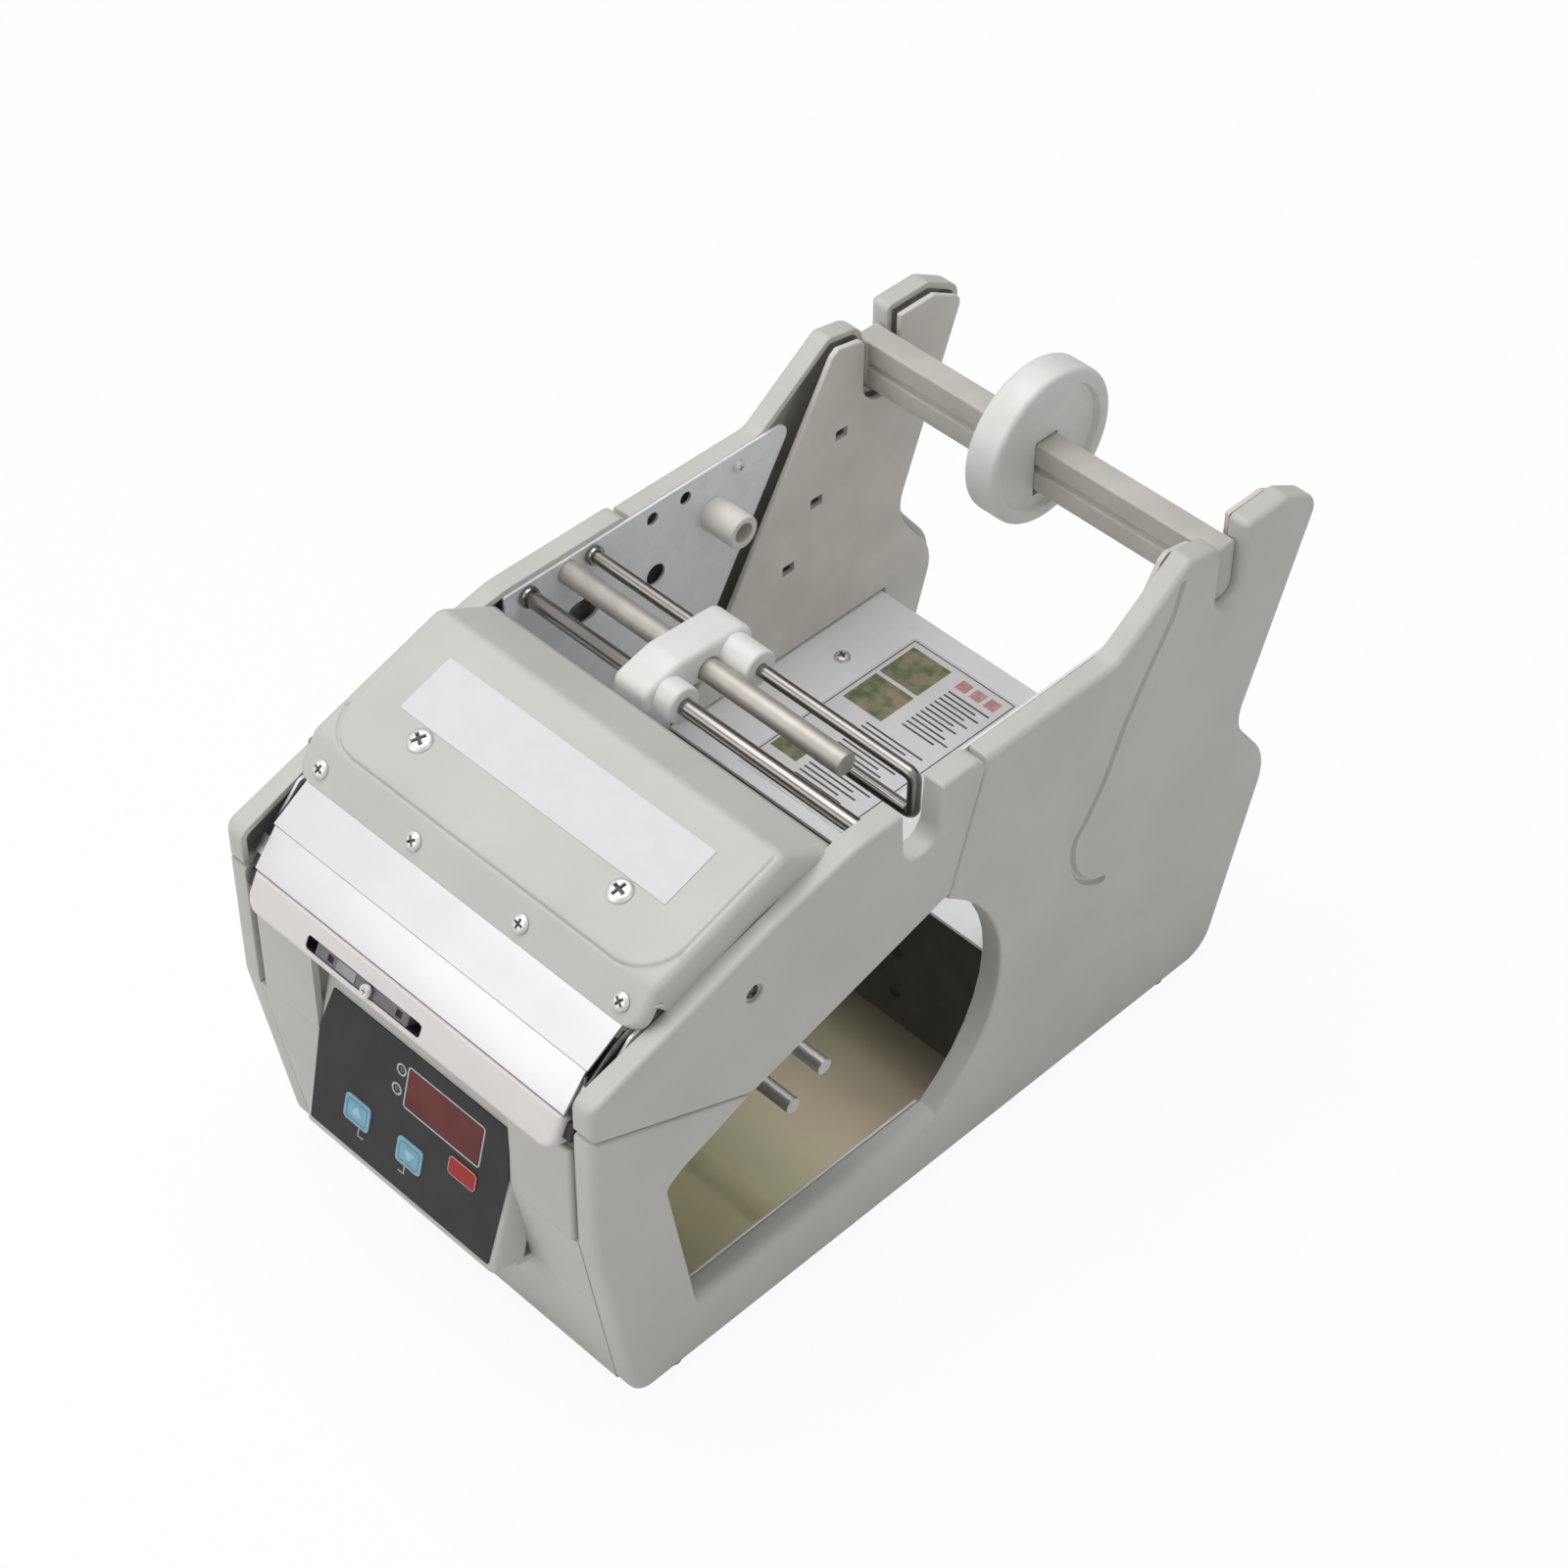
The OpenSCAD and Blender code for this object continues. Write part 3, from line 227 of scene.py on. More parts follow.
def moved(corners, d):
    """Each side moved inwards by its d: a corner goes where the two moved sides cross."""
    p = np.array(corners, float)
    b = p[:, :2]
    d = np.broadcast_to(np.asarray(d, float), len(b))
    e = unit(np.roll(b, -1, 0) - b)
    n = np.stack([-e[:, 1], e[:, 0]], 1)
    n0, d0 = np.roll(n, 1, 0), np.roll(d, 1)
    turn = n0[:, 0] * n[:, 1] - n0[:, 1] * n[:, 0]
    shift = np.stack([d0 * n[:, 1] - d * n0[:, 1], d * n0[:, 0] - d0 * n[:, 0]], 1) / turn[:, None]
    deep = np.maximum(d, d0)
    r = np.where(turn > 0, np.maximum(p[:, 2] - deep, 0.02), p[:, 2] + deep)
    return np.column_stack([b + shift, r])


def grid_faces(rows, columns, closed=True):
    """Quads of a grid of points, row after row, turned so that they face outwards when each
    row runs counter-clockwise and the rows go away from the viewer."""
    i = np.arange(rows - 1)[:, None] * columns
    j = np.arange(columns if closed else columns - 1)[None, :]
    k = (j + 1) % columns
    return np.stack([i + j, i + columns + j, i + columns + k, i + k], 2).reshape(-1, 4).tolist()


def cap(points, lines=(), holes=()):
    """Fills a closed outline with triangles. lines are (points, depth, closed) drawn inside it,
    and holes are outlines left open. Returns the 2-D points, how deep each lies, and the faces."""
    flat = [np.asarray(q, float) for q in (points, *(line[0] for line in lines), *holes)]
    sizes = [len(q) for q in flat]
    first = np.concatenate([[0], np.cumsum(sizes)])
    rings = [True] + [line[2] for line in lines] + [True] * len(holes)
    edges = []
    for start, n, closed in zip(first, sizes, rings):
        edges += [(int(start + i), int(start + (i + 1) % n)) for i in range(n if closed else n - 1)]
    every = [Vector(q) for q in np.concatenate(flat)]
    v, _, tris, source, _, _ = delaunay_2d_cdt(every, edges, [], 0, 1e-5)
    given = np.array([o[0] if o else -1 for o in source])
    v, tris = np.array([list(q) for q in v]), np.array([list(t) for t in tris])
    depth = np.repeat([0.0] + [line[1] for line in lines] + [0.0] * len(holes), sizes)
    mid = v[tris].mean(1)
    keep = inside(mid, flat[0])
    for h in holes:
        keep &= ~inside(mid, np.asarray(h, float))
    tris = tris[keep]
    a, b, c = v[tris[:, 0]], v[tris[:, 1]], v[tris[:, 2]]
    flip = ((b - a)[:, 0] * (c - a)[:, 1] - (b - a)[:, 1] * (c - a)[:, 0]) < 0
    tris[flip] = tris[flip][:, ::-1]
    return v, np.where(given >= 0, depth[np.maximum(given, 0)], 0.0), tris


def inside(points, outline):
    """True where a point lies inside a closed outline: it crosses an odd number of its sides."""
    x, y = points[:, 0:1], points[:, 1:2]
    a, b = outline[None], np.roll(outline, -1, 0)[None]
    cross = (a[..., 1] > y) != (b[..., 1] > y)
    up = b[..., 1] - a[..., 1]
    at = a[..., 0] + (y - a[..., 1]) * (b[..., 0] - a[..., 0]) / np.where(up == 0, 1e-12, up)
    return (cross & (x < at)).sum(1) % 2 == 1


print("a square with 2 mm corners has", len(arcs([(0, 0, 2), (9, 0, 2), (9, 9, 2), (0, 9, 2)])), "points")

# %% [markdown]
# A piece is one mesh with smooth shading that breaks at sharp angles, its place in its vertices
# and its object at the origin, so that it rides on a CAD body and its patterns stay put.

# %% Pieces
def join(parts):
    """Puts several (points, faces) meshes into one."""
    points, faces, start = [], [], 0
    for p, f in parts:
        points.append(np.asarray(p, float))
        faces += [[int(i) + start for i in q] for q in f]
        start += len(p)
    return np.concatenate(points), faces


def mirrored(part):
    """The same solid on the other side: x changes sign, so each face is read backwards."""
    p, f = part
    return np.asarray(p, float) * [-1, 1, 1], [list(q)[::-1] for q in f]


def piece(name, parts, body, materials, replaces=(), slot=None, angle=32, numbers=None):
    """Makes a mesh object from (points, faces) parts in drawing millimetres and lets it ride on a
    body. numbers gives each part's place in the list of materials. slot is not used."""
    materials = materials if isinstance(materials, list) else [materials]
    points, faces = join(parts)
    mesh = bpy.data.meshes.new(name)
    mesh.from_pydata(place(points).tolist(), [], faces)
    which = np.repeat(numbers if numbers else [0] * len(parts), [len(f) for _, f in parts])
    mesh.polygons.foreach_set("material_index", which.astype(np.int32))
    work = bmesh.new()
    work.from_mesh(mesh)
    bmesh.ops.remove_doubles(work, verts=work.verts, dist=4e-6)
    work.to_mesh(mesh)
    work.free()
    mesh.polygons.foreach_set("use_smooth", np.ones(len(mesh.polygons), bool))
    mesh.set_sharp_from_angle(angle=radians(angle))
    for m in materials:
        mesh.materials.append(m)
    obj = bpy.data.objects.new(name, mesh)
    bpy.context.scene.collection.objects.link(obj)
    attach(obj, body)
    if replaces:
        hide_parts(*replaces)
    print(name, len(mesh.polygons), "faces")
    return obj


def rings_at(outlines, xs):
    """Stacks flat outlines, each at its own x or x per point, to rings of 3-D points."""
    return np.stack([np.column_stack([np.broadcast_to(x, len(o)), o]) for o, x in zip(outlines, xs)])


def rimmed(corners, x_out, x_in, radius, soft=1.0, steps=8, inner=0.5, shell=None, lines=(), holes=()):
    """A slab between two planes of constant x whose outer edge is a quarter round. Ring by ring
    the inset is radius * soft * (1 - sin a) and the drop radius * soft * (1 - cos a). shell is
    (rim width, pocket floor x) for a part that is hollow on its inner side."""
    n = len(corners)
    k = np.broadcast_to(np.asarray(soft, float), n)
    before = np.roll(k, 1)[:, None]
    t = np.linspace(0, 1, steps)
    share = (before * (1 - t) + k[:, None] * t).reshape(-1)
    outlines, xs = [arcs(moved(corners, (radius + 0.5) * k), steps)], [np.full(n * steps, float(x_out))]
    for a in np.linspace(0, pi / 2, 7):
        outlines.append(arcs(moved(corners, radius * k * (1 - sin(a)) + 1e-4), steps))
        xs.append(x_out - radius * share * (1 - cos(a)))
    for a in np.linspace(0, pi / 2, 5):
        outlines.append(arcs(moved(corners, inner * (1 - cos(a)) + 1e-4), steps))
        xs.append(np.full(n * steps, x_in + inner * (1 - sin(a))))
    if shell:
        rim, floor_x = shell
        pocket = [(rim - 0.7, x_in), (rim - 0.3, x_in), (rim, x_in + 0.4)]
        for d, x in pocket + [(rim, floor_x - 0.3), (rim + 0.3, floor_x)]:
            outlines.append(arcs(moved(corners, d), steps))
            xs.append(np.full(n * steps, float(x)))
    rings = rings_at(outlines, xs)
    parts = [(rings.reshape(-1, 3), grid_faces(len(rings), rings.shape[1]))]
    v, depth, tris = cap(outlines[0], lines, holes)
    parts.append((np.column_stack([x_out - depth, v]), tris))
    rear_x = float(xs[-1][0])
    v, depth, tris = cap(outlines[-1], (), holes)
    parts.append((np.column_stack([rear_x - depth, v]), tris[:, ::-1]))
    for h in holes:
        wall = rings_at([h, h], [x_out, rear_x]).reshape(-1, 3)
        parts.append((wall, [f[::-1] for f in grid_faces(2, len(h))]))
    return join(parts)


def leaning(part, at, angle):
    """Turns a part made along x so that x points out of a plane that leans by angle about the
    machine's x axis: a point (x, y, z) goes to at + y * X + z * B + x * (X cross B), where
    B = (0, cos angle, sin angle) runs up the plane."""
    p, f = part
    c, k = cos(radians(angle)), sin(radians(angle))
    return np.column_stack([p[:, 1], at[0] + p[:, 2] * c - p[:, 0] * k, at[1] + p[:, 2] * k + p[:, 0] * c]), f


def box_corners(x0, y0, x1, y1, r):
    """The four corners of a rectangle, counter-clockwise, with one radius."""
    return [(x0, y0, r), (x1, y0, r), (x1, y1, r), (x0, y1, r)]


def ribbon(outline, width, low, high, closed=True):
    """A printed line: a strip of the given width inside an outline, from height low to high."""
    o = np.asarray(outline, float)
    t = unit(np.roll(o, -1, 0) - np.roll(o, 1, 0)) if closed else unit(np.gradient(o, axis=0))
    n = t[:, ::-1] * [-1, 1]
    rings = rings_at([o, o, o + n * width, o + n * width], [low, high, high, low])
    m = len(o)
    faces = [f[::-1] for f in grid_faces(5, m, closed)]
    rings = np.concatenate([rings, rings[:1]])
    return rings.reshape(-1, 3), faces


def turned(section, centre, axis, steps=96, closed=False):
    """Turns a section of (distance along axis, radius) about a line: a lathe."""
    s = np.array(section, float)
    w = unit(np.array(axis, float))
    a = unit(np.cross(w, [0.0, 0.3, 1.0] if abs(w[0]) > 0.5 else [1.0, 0.0, 0.0]))
    b = np.cross(w, a)
    t = np.linspace(0, 2 * pi, steps, endpoint=False)
    circle = np.cos(t)[:, None] * a + np.sin(t)[:, None] * b
    rings = np.asarray(centre, float) + s[:, 0, None, None] * w + s[:, 1, None, None] * circle[None]
    points = rings.reshape(-1, 3)
    faces = [f[::-1] for f in grid_faces(len(s), steps)]
    if closed:
        seam = np.array(grid_faces(2, steps))
        seam = seam % steps + np.where(seam >= steps, 0, (len(s) - 1) * steps)
        faces += seam[:, ::-1].tolist()
    else:
        faces += [list(range(steps))[::-1], list(range(len(points) - steps, len(points)))]
    return points, faces


def tube(path, radius, steps=32):
    """A round wire: a circle of one radius carried along a line of points, its cross direction
    square to the line and to one fixed slant direction."""
    p = np.asarray(path, float)
    tangent = unit(np.gradient(p, axis=0))
    side = unit(np.cross(tangent, unit(np.array([[0.31, 0.53, 0.79]]))))
    up = np.cross(tangent, side)
    t = np.linspace(0, 2 * pi, steps, endpoint=False)
    around = np.cos(t)[None, :, None] * side[:, None] + np.sin(t)[None, :, None] * up[:, None]
    points = (p[:, None] + radius * around).reshape(-1, 3)
    faces = [f[::-1] for f in grid_faces(len(p), steps)]
    faces += [list(range(steps))[::-1], list(range(len(points) - steps, len(points)))]
    return points, faces


print("helpers ready")

# %% [markdown]
# ## Materials
# A finish is colour, gloss and a fine relief. The colour drifts between two near shades over
# patches some millimetres wide, the relief is a noise as fine as the real grain, and the gloss is
# one number or follows the relief. All sizes are in millimetres, and all patterns use Object
# coordinates, so they stay on the piece when it moves.

# %% Material helpers
def material(name, shade, metallic=0.0, ior=1.5, **more):
    """A principled surface whose fixed numbers sit on the shader's own sockets."""
    m = bpy.data.materials.new(name)
    m.use_nodes = True
    t = m.node_tree
    t.nodes.clear()
    shader = add_node(t, "ShaderNodeBsdfPrincipled", Metallic=metallic)
    shader.inputs["Base Color"].default_value = linear(shade)
    if not metallic:
        shader.inputs["IOR"].default_value = ior
    for key, value in more.items():
        shader.inputs[key.replace("_", " ").title()].default_value = value
    add_node(t, "ShaderNodeOutputMaterial", [(shader.outputs[0], "Surface")])
    return m, t, shader, add_node(t, "ShaderNodeTexCoord").outputs["Object"]


def mottle(t, at, shader, low, high, patch, detail, contrast=(0.35, 0.65)):
    """Colour that drifts between two shades over patches of a given width."""
    noise = add_node(t, "ShaderNodeTexNoise", [(at, "Vector")], Scale=1000 / patch, Detail=detail)
    ramp = ramp_of(t, noise.outputs["Fac"], contrast, (low, high))
    t.links.new(ramp.outputs["Color"], shader.inputs["Base Color"])
    return noise, ramp


def grain(t, at, shader, size, height, strength=1.0, detail=2.0, squeeze=(1, 1, 1)):
    """Relief from a noise of a given grain size and height; squeeze draws it out along an axis."""
    stretch = add_node(t, "ShaderNodeMapping", [(at, "Vector")], Scale=squeeze)
    noise = add_node(t, "ShaderNodeTexNoise", [(stretch.outputs[0], "Vector")], Scale=1000 / size)
    noise.inputs["Detail"].default_value = detail
    relief = [(noise.outputs["Fac"], "Height")]
    bump = add_node(t, "ShaderNodeBump", relief, Strength=strength, Distance=height / 1000)
    t.links.new(bump.outputs[0], shader.inputs["Normal"])
    return noise


def rough_range(t, source, shader, low, high):
    """Roughness that follows a pattern between two values."""
    span = add_node(t, "ShaderNodeMapRange", [(source, "Value")], To_Min=low, To_Max=high)
    t.links.new(span.outputs[0], shader.inputs["Roughness"])


def finish(name, low, high, patch, detail, gloss, relief=None, squeeze=(1, 1, 1), **more):
    """A whole material: shades, patch width, detail of the drift, roughness (one number or a
    range), and relief as (grain size, height, strength)."""
    m, t, shader, at = material(name, low, **more)
    noise, _ = mottle(t, at, shader, low, high, patch, detail)
    if relief:
        noise = grain(t, at, shader, *relief, squeeze=squeeze)
    if isinstance(gloss, tuple):
        rough_range(t, noise.outputs["Fac"], shader, *gloss)
    else:
        shader.inputs["Roughness"].default_value = gloss
    return m


print("finishes are made of shades, relief and gloss")

# %% [markdown]
# The case is ABS, injection moulded against a lightly etched steel mould: warm grey, half matt,
# with a fine leathery grain that breaks up the gloss. It is the colour that decides how the whole
# machine reads, so it is set first. The nylon is natural white and a little waxy, because light
# sinks into it.

# %% Moulded plastics and rubber
moulded_abs = finish("moulded_grey_abs", "#d0cdc7", "#d6d3cd", 45, 2, (0.42, 0.52), (0.45, 0.012, 0.5),
    ior=1.53)
black_abs = finish("moulded_black_abs", "#262628", "#303032", 8, 3, 0.4, (0.35, 0.012, 0.4))
liner_plastic = finish("moulded_grey_styrene", "#e1dcd4", "#e9e4dc", 25, 3, 0.5, (0.5, 0.012, 0.4))
sensor_grey = finish("grey_glass_filled_nylon", "#716f74", "#7d7b80", 3, 3, 0.45, (0.35, 0.01, 0.4))
white_nylon = finish("natural_white_nylon", "#ebeae6", "#f2f1ee", 14, 3, (0.3, 0.44), (0.7, 0.01, 0.35),
    ior=1.53, subsurface_weight=0.12, subsurface_scale=0.002)
nitrile_rubber = finish("ground_nitrile_rubber", "#343435", "#3f3f40", 5, 4, 0.75, (0.35, 0.02, 0.6))
foot_rubber = finish("moulded_foot_rubber", "#282828", "#323232", 4, 3, 0.8, (0.4, 0.02, 0.5))
print("case shade from #d0cdc7 to #d6d3cd")

# %% [markdown]
# The metals differ in how they are finished. Screws are nickel-plated, and the bottom of a cross
# gets a darker grey, which is painted shade. The peel strips are stainless and drawn
# along X, so their fine lines run that way. The front rod and the bail are ground and chromed, the
# guide rod is matt zinc-nickel, and the spring wire is blackened in oil.

# %% Metals
bright_nickel = finish("nickel_plated_screws", "#dfdddb", "#e9e7e5", 2.5, 3, (0.38, 0.48), (0.5, 0.01, 0.3),
    metallic=0.8)
# Painted shade: a darker grey for the bottom of each screw's cross
painted_cross_shade = finish("painted_shade_in_screw_cross", "#63605d", "#72706c", 1, 3, 0.6, metallic=0.6)
polished_steel = finish("polished_stainless_strip", "#eceaec", "#f1eef0", 30, 2, (0.36, 0.46),
    (0.5, 0.004, 0.35), squeeze=(0.02, 1, 1), metallic=0.4)
hard_chrome = finish("ground_chromed_rod", "#908c88", "#989490", 20, 2, (0.21, 0.27), metallic=1)
plated_steel = finish("dull_nickel_plated_steel", "#9c9d9f", "#afb0b2", 12, 3, (0.27, 0.4),
    (0.4, 0.006, 0.35), metallic=1)
matt_plating = finish("matt_zinc_nickel_plating", "#bab5ad", "#c5c0b8", 9, 3, (0.45, 0.56),
    (0.5, 0.005, 0.3), metallic=0.6)
black_wire = finish("oil_blackened_spring_wire", "#565453", "#666463", 3, 3, 0.32, (0.3, 0.004, 0.3),
    metallic=1)
sintered_bronze = finish("sintered_bronze", "#a38143", "#bb9955", 2, 4, 0.5, (0.3, 0.01, 0.5), metallic=1)
print("eight metal finishes")

# %% [markdown]
# Sheet metal is zinc-coated. Hot-dip zinc freezes in crystals about 6 mm wide, which a Voronoi
# pattern gives. The front of the rear box gets a dark grey sheet, which is painted shade. The
# floor plate is passivated yellow: its film is thinner than a wavelength of light, so it drifts
# from green and straw in front to pink at the rear.

# %% Zinc-coated sheet
def zinc(name, low, high, metallic):
    """A zinc coat whose crystals, about 6 mm wide, differ a little in shade and gloss."""
    m, t, shader, at = material(name, low, metallic)
    cells = add_node(t, "ShaderNodeTexVoronoi", [(at, "Vector")], Scale=1000 / 6)
    ramp = ramp_of(t, cells.outputs["Color"], (0, 1), (low, high))
    t.links.new(ramp.outputs["Color"], shader.inputs["Base Color"])
    rough_range(t, cells.outputs["Distance"], shader, 0.42, 0.58)
    grain(t, at, shader, 0.6, 0.01, 0.25)
    return m


def passivated(name):
    """A metal whose tint follows half the sum of a noise and the way from the front to the rear."""
    m, t, shader, at = material(name, "#b9a870", metallic=1)
    noise, ramp = mottle(t, at, shader, "#b1af90", "#af9f93", 80, 2, (0.28, 0.76))
    for spot, shade in ((0.4, "#c2bc95"), (0.5, "#b5b495"), (0.6, "#b8ae95")):
        ramp.color_ramp.elements.new(spot).color = linear(shade)
    along_y = add_node(t, "ShaderNodeSeparateXYZ", [(at, "Vector")]).outputs["Y"]
    way = add_node(t, "ShaderNodeMapRange", [(along_y, "Value")], From_Min=-0.15, From_Max=0.06)
    both = add_node(t, "ShaderNodeMath", [(way.outputs[0], 0), (noise.outputs["Fac"], 1)], operation="ADD")
    film = add_node(t, "ShaderNodeMath", [(both.outputs[0], 0)], operation="MULTIPLY")
    film.inputs[1].default_value = 0.5
    t.links.new(film.outputs[0], ramp.inputs["Fac"])
    fine = grain(t, at, shader, 0.5, 0.005, 0.3)
    rough_range(t, fine.outputs["Fac"], shader, 0.28, 0.42)
    return m


galvanised = zinc("galvanised_steel_sheet", "#e8ebee", "#f0f3f5", 0.3)
# Painted light: a paler, almost matt copy of the zinc for the rear box, so that its top reads bright
box_sheet_painted_light = zinc("galvanised_sheet_painted_lighter", "#f6f7f7", "#fafbfb", 0.05)
# Painted shade: a dark grey sheet for the front of the rear box, which lies in shadow
painted_shade_sheet = finish("painted_shade_on_box_front", "#464442", "#514f4d", 14, 3, 0.45, (0.5, 0.006, 0.3),
    metallic=0.4)
yellow_zinc = passivated("yellow_passivated_zinc")
print("four kinds of sheet")

# %% [markdown]
# Painted, printed and cast parts. The lip is stoved enamel on aluminium, the roll bar is powder
# coated over its drawing lines, and the overlay and keys are printed film. The window is red
# acrylic over dark digits: its colour shows at its skin, so it is opaque here. The lamps are
# smoked epoxy, unlit. The boards are solder mask over a weave of about half a millimetre.

# %% Paint, film, paper and ink
grey_enamel = finish("stoved_grey_enamel", "#f1e9e7", "#f5edeb", 25, 2, 0.4, (0.8, 0.012, 0.35),
    coat_weight=0.15, coat_roughness=0.3)
coated_aluminium = finish("powder_coated_aluminium", "#c7c3bb", "#d0ccc4", 18, 2, (0.45, 0.58),
    (0.35, 0.006, 0.4), squeeze=(0.03, 1, 1))
overlay_film = finish("charcoal_polyester_film", "#2b2a2a", "#323131", 20, 2, 0.5, (0.3, 0.005, 0.3),
    ior=1.45)
blue_film = finish("printed_blue_key_film", "#76b3ca", "#86c0d5", 6, 2, 0.38, (0.3, 0.005, 0.3), ior=1.57)
red_film = finish("printed_red_key_film", "#a51f17", "#b62b22", 6, 2, 0.45, (0.3, 0.005, 0.3), ior=1.45)
red_acrylic = finish("red_acrylic_window", "#66231f", "#76302a", 16, 2, 0.35, ior=1.4)
lamp_epoxy = finish("smoked_lamp_epoxy", "#655552", "#73615e", 1.5, 2, 0.22, ior=1.55)
solder_mask = finish("green_solder_mask", "#256037", "#347647", 3, 4, 0.3, (0.5, 0.01, 0.4), ior=1.55)
label_paper = finish("bare_label_paper", "#ebe8ea", "#eeebed", 9, 3, 0.62, (0.3, 0.006, 0.3, 4), ior=1.45)
pale_ink = finish("pale_screen_ink", "#c3c5c4", "#cfd1d0", 3, 3, 0.5)
dark_ink = finish("dark_screen_ink", "#3b5663", "#45616f", 2, 3, 0.5)
light_ink = finish("light_blue_screen_ink", "#add1e0", "#bcdce8", 2, 3, 0.45)
text_ink = finish("black_litho_ink", "#4d4a46", "#65625c", 2, 4, 0.6)
leaf_ink = finish("green_and_brown_litho_ink", "#5f7350", "#a5987b", 6, 5, 0.55)
rose_ink = finish("rose_litho_ink", "#c98f8a", "#d9b1ac", 4, 3, 0.55)
print("materials:", len(bpy.data.materials))

# %% [markdown]
# The CAD nodes keep their shapes, and each takes the material of its slot, or its own where the
# finish differs from the rest of its slot. The rear box takes a paler zinc as painted light.

# %% Materials on the CAD nodes
BY_SLOT = {"moulded_case": moulded_abs, "bare_label": label_paper, "bright_screws": bright_nickel,
    "polished_steel": polished_steel, "chromed_rod": hard_chrome, "galvanised_sheet": galvanised,
    "zinc_floor": yellow_zinc, "plated_steel": plated_steel, "lip_aluminium": grey_enamel,
    "black_plastic": black_abs, "overlay_film": overlay_film, "red_window": red_acrylic,
    "lamp_red": lamp_epoxy, "blue_key": blue_film, "red_key": red_film, "circuit_board": solder_mask,
    "liner_plastic": liner_plastic, "white_nylon": white_nylon, "bar_aluminium": coated_aluminium,
    "roller_rubber": nitrile_rubber, "bronze_bush": sintered_bronze, "foot_rubber": foot_rubber}
BY_NODE = {"rear_housing": box_sheet_painted_light, "rewind_fork": bright_nickel}
for node, slot_name in SLOT_OF.items():
    mesh = nodes[node].data
    mesh.materials.clear()
    mesh.materials.append(BY_NODE.get(node, BY_SLOT[slot_name]))
print("dressed", len(SLOT_OF), "CAD nodes")

# %% [markdown]
# ## Side panels
# Each side is one ABS moulding, 10 mm deep, hollow towards the machine. The outline is a run of
# straight sides with generous corners, and the outer edge is a 3 mm quarter round, so the light
# draws a bright line round the whole panel. Where the panel meets the head cover the edge is
# crisper. The right panel is one C-shaped outline, because the window opens up to the seam, and
# a shallow hook-shaped groove on it shows how the web is threaded.

# %% Side panels
ARMS = [(16.5, 0, 10, 1), (347, 0, 16, 1), (375, 96, 26, 1), (350, 129, 20, 1), (385.93, 227, 8, 1),
    (366, 238.5, 5, 1), (341.5, 238.5, 3, 1.3), (341.5, 203, 6.9, 1.3), (327.5, 203, 6.9, 1.3),
    (327.5, 237, 8, 1), (308, 241, 5, 1), (269, SHOULDER, 12, 1)]
SEAM_REAR = [(198.6, SHOULDER, 1.2, 0.45)]
SEAM_LEFT = [(181.6, 154.9, 2, 0.45), (78, 125.75, 8, 0.45), (0, 161.2, 2, 1.25)]
SEAM_RIGHT = [(180.75, 152.2, 0.8, 0.5), (265.84, 91, 73.2, 0.5), (180.66, 30.02, 1.5, 1.5),
    (49, 30, 4, 0.5), (35, 108, 5, 0.5), (43, 113, 8, 0.5), (77.2, 126.1, 0.6, 0.45), (0, 161.2, 2, 1.25)]
FRONT = [(0, 100, 14, 1.25)]
STEM = [(304, 233), (300, 219), (288, 199), (277, 179), (268, 156), (258, 139), (253.2, 133.2)]
# Rim width and pocket floor of the mouldings that are hollow on their inner side
HOLLOW = (3, 97.5)


def split(corners):
    """Takes the fourth number, the softness of the side that follows, off each corner."""
    c = np.array(corners, float)
    return c[:, :3], c[:, 3]


def along(points, r, steps, spacing):
    """An open line of points with its inner corners rounded by radius r, at an even spacing."""
    p = np.array(points, float)
    line = arcs([(*q, r) for q in points], steps).reshape(len(p), steps, 2)
    line = np.concatenate([p[:1], line[1:-1].reshape(-1, 2), p[-1:]])
    s = np.concatenate([[0], np.cumsum(np.linalg.norm(np.diff(line, axis=0), axis=1))])
    at = np.linspace(0, s[-1], int(s[-1] / spacing))
    return np.column_stack([np.interp(at, s, line[:, 0]), np.interp(at, s, line[:, 1])])


def groove(line, width, depth):
    """Closed loops round an open line: one at the surface and two narrower ones further down."""
    t = unit(np.gradient(line, axis=0))
    n = t[:, ::-1] * [-1, 1]
    loops = []
    for w, d in ((width, 0.0), (width * 0.86, depth * 0.4), (width * 0.4, depth)):
        ahead, behind = line[-1:] + t[-1:] * w / 2, line[:1] - t[:1] * w / 2
        loop = np.concatenate([line + n * w / 2, ahead, (line - n * w / 2)[::-1], behind])
        loops.append((loop, d, True))
    return loops


def case(name, parts, node, **more):
    """A moulding of the case in the place of one CAD node."""
    return piece(name, parts, "machine", moulded_abs, [node], **more)


bend = np.linspace(radians(166), radians(252), 16)
hook = np.column_stack([282 + 30 * np.cos(bend), 125.5 + 30 * np.sin(bend)])
thread_mark = groove(np.concatenate([along(STEM, 20, 6, 2.5), hook[1:]]), 3.4, 2.0)
left_c, left_soft = split(ARMS + SEAM_REAR + SEAM_LEFT + FRONT)
right_c, right_soft = split(ARMS + SEAM_REAR + SEAM_RIGHT + FRONT)
left_side = rimmed(left_c, HALF, PANEL, 3.0, left_soft, 14, shell=HOLLOW)
right_side = rimmed(right_c, HALF, PANEL, 3.0, right_soft, 14, shell=HOLLOW, lines=thread_mark)
case("side_panel_right_skin", [right_side], "side_panel_right")
case("side_panel_left_skin", [mirrored(left_side)], "side_panel_left")

# %% [markdown]
# ## Head covers
# A smaller moulding closes each side panel at the front. It has the same wall and edge, a
# counterbored screw, and on the right a finger notch. Its nose is rounder than its other edges.
# On the inside a rebate takes the flank of the deck cover, so the inner rim stands back there.

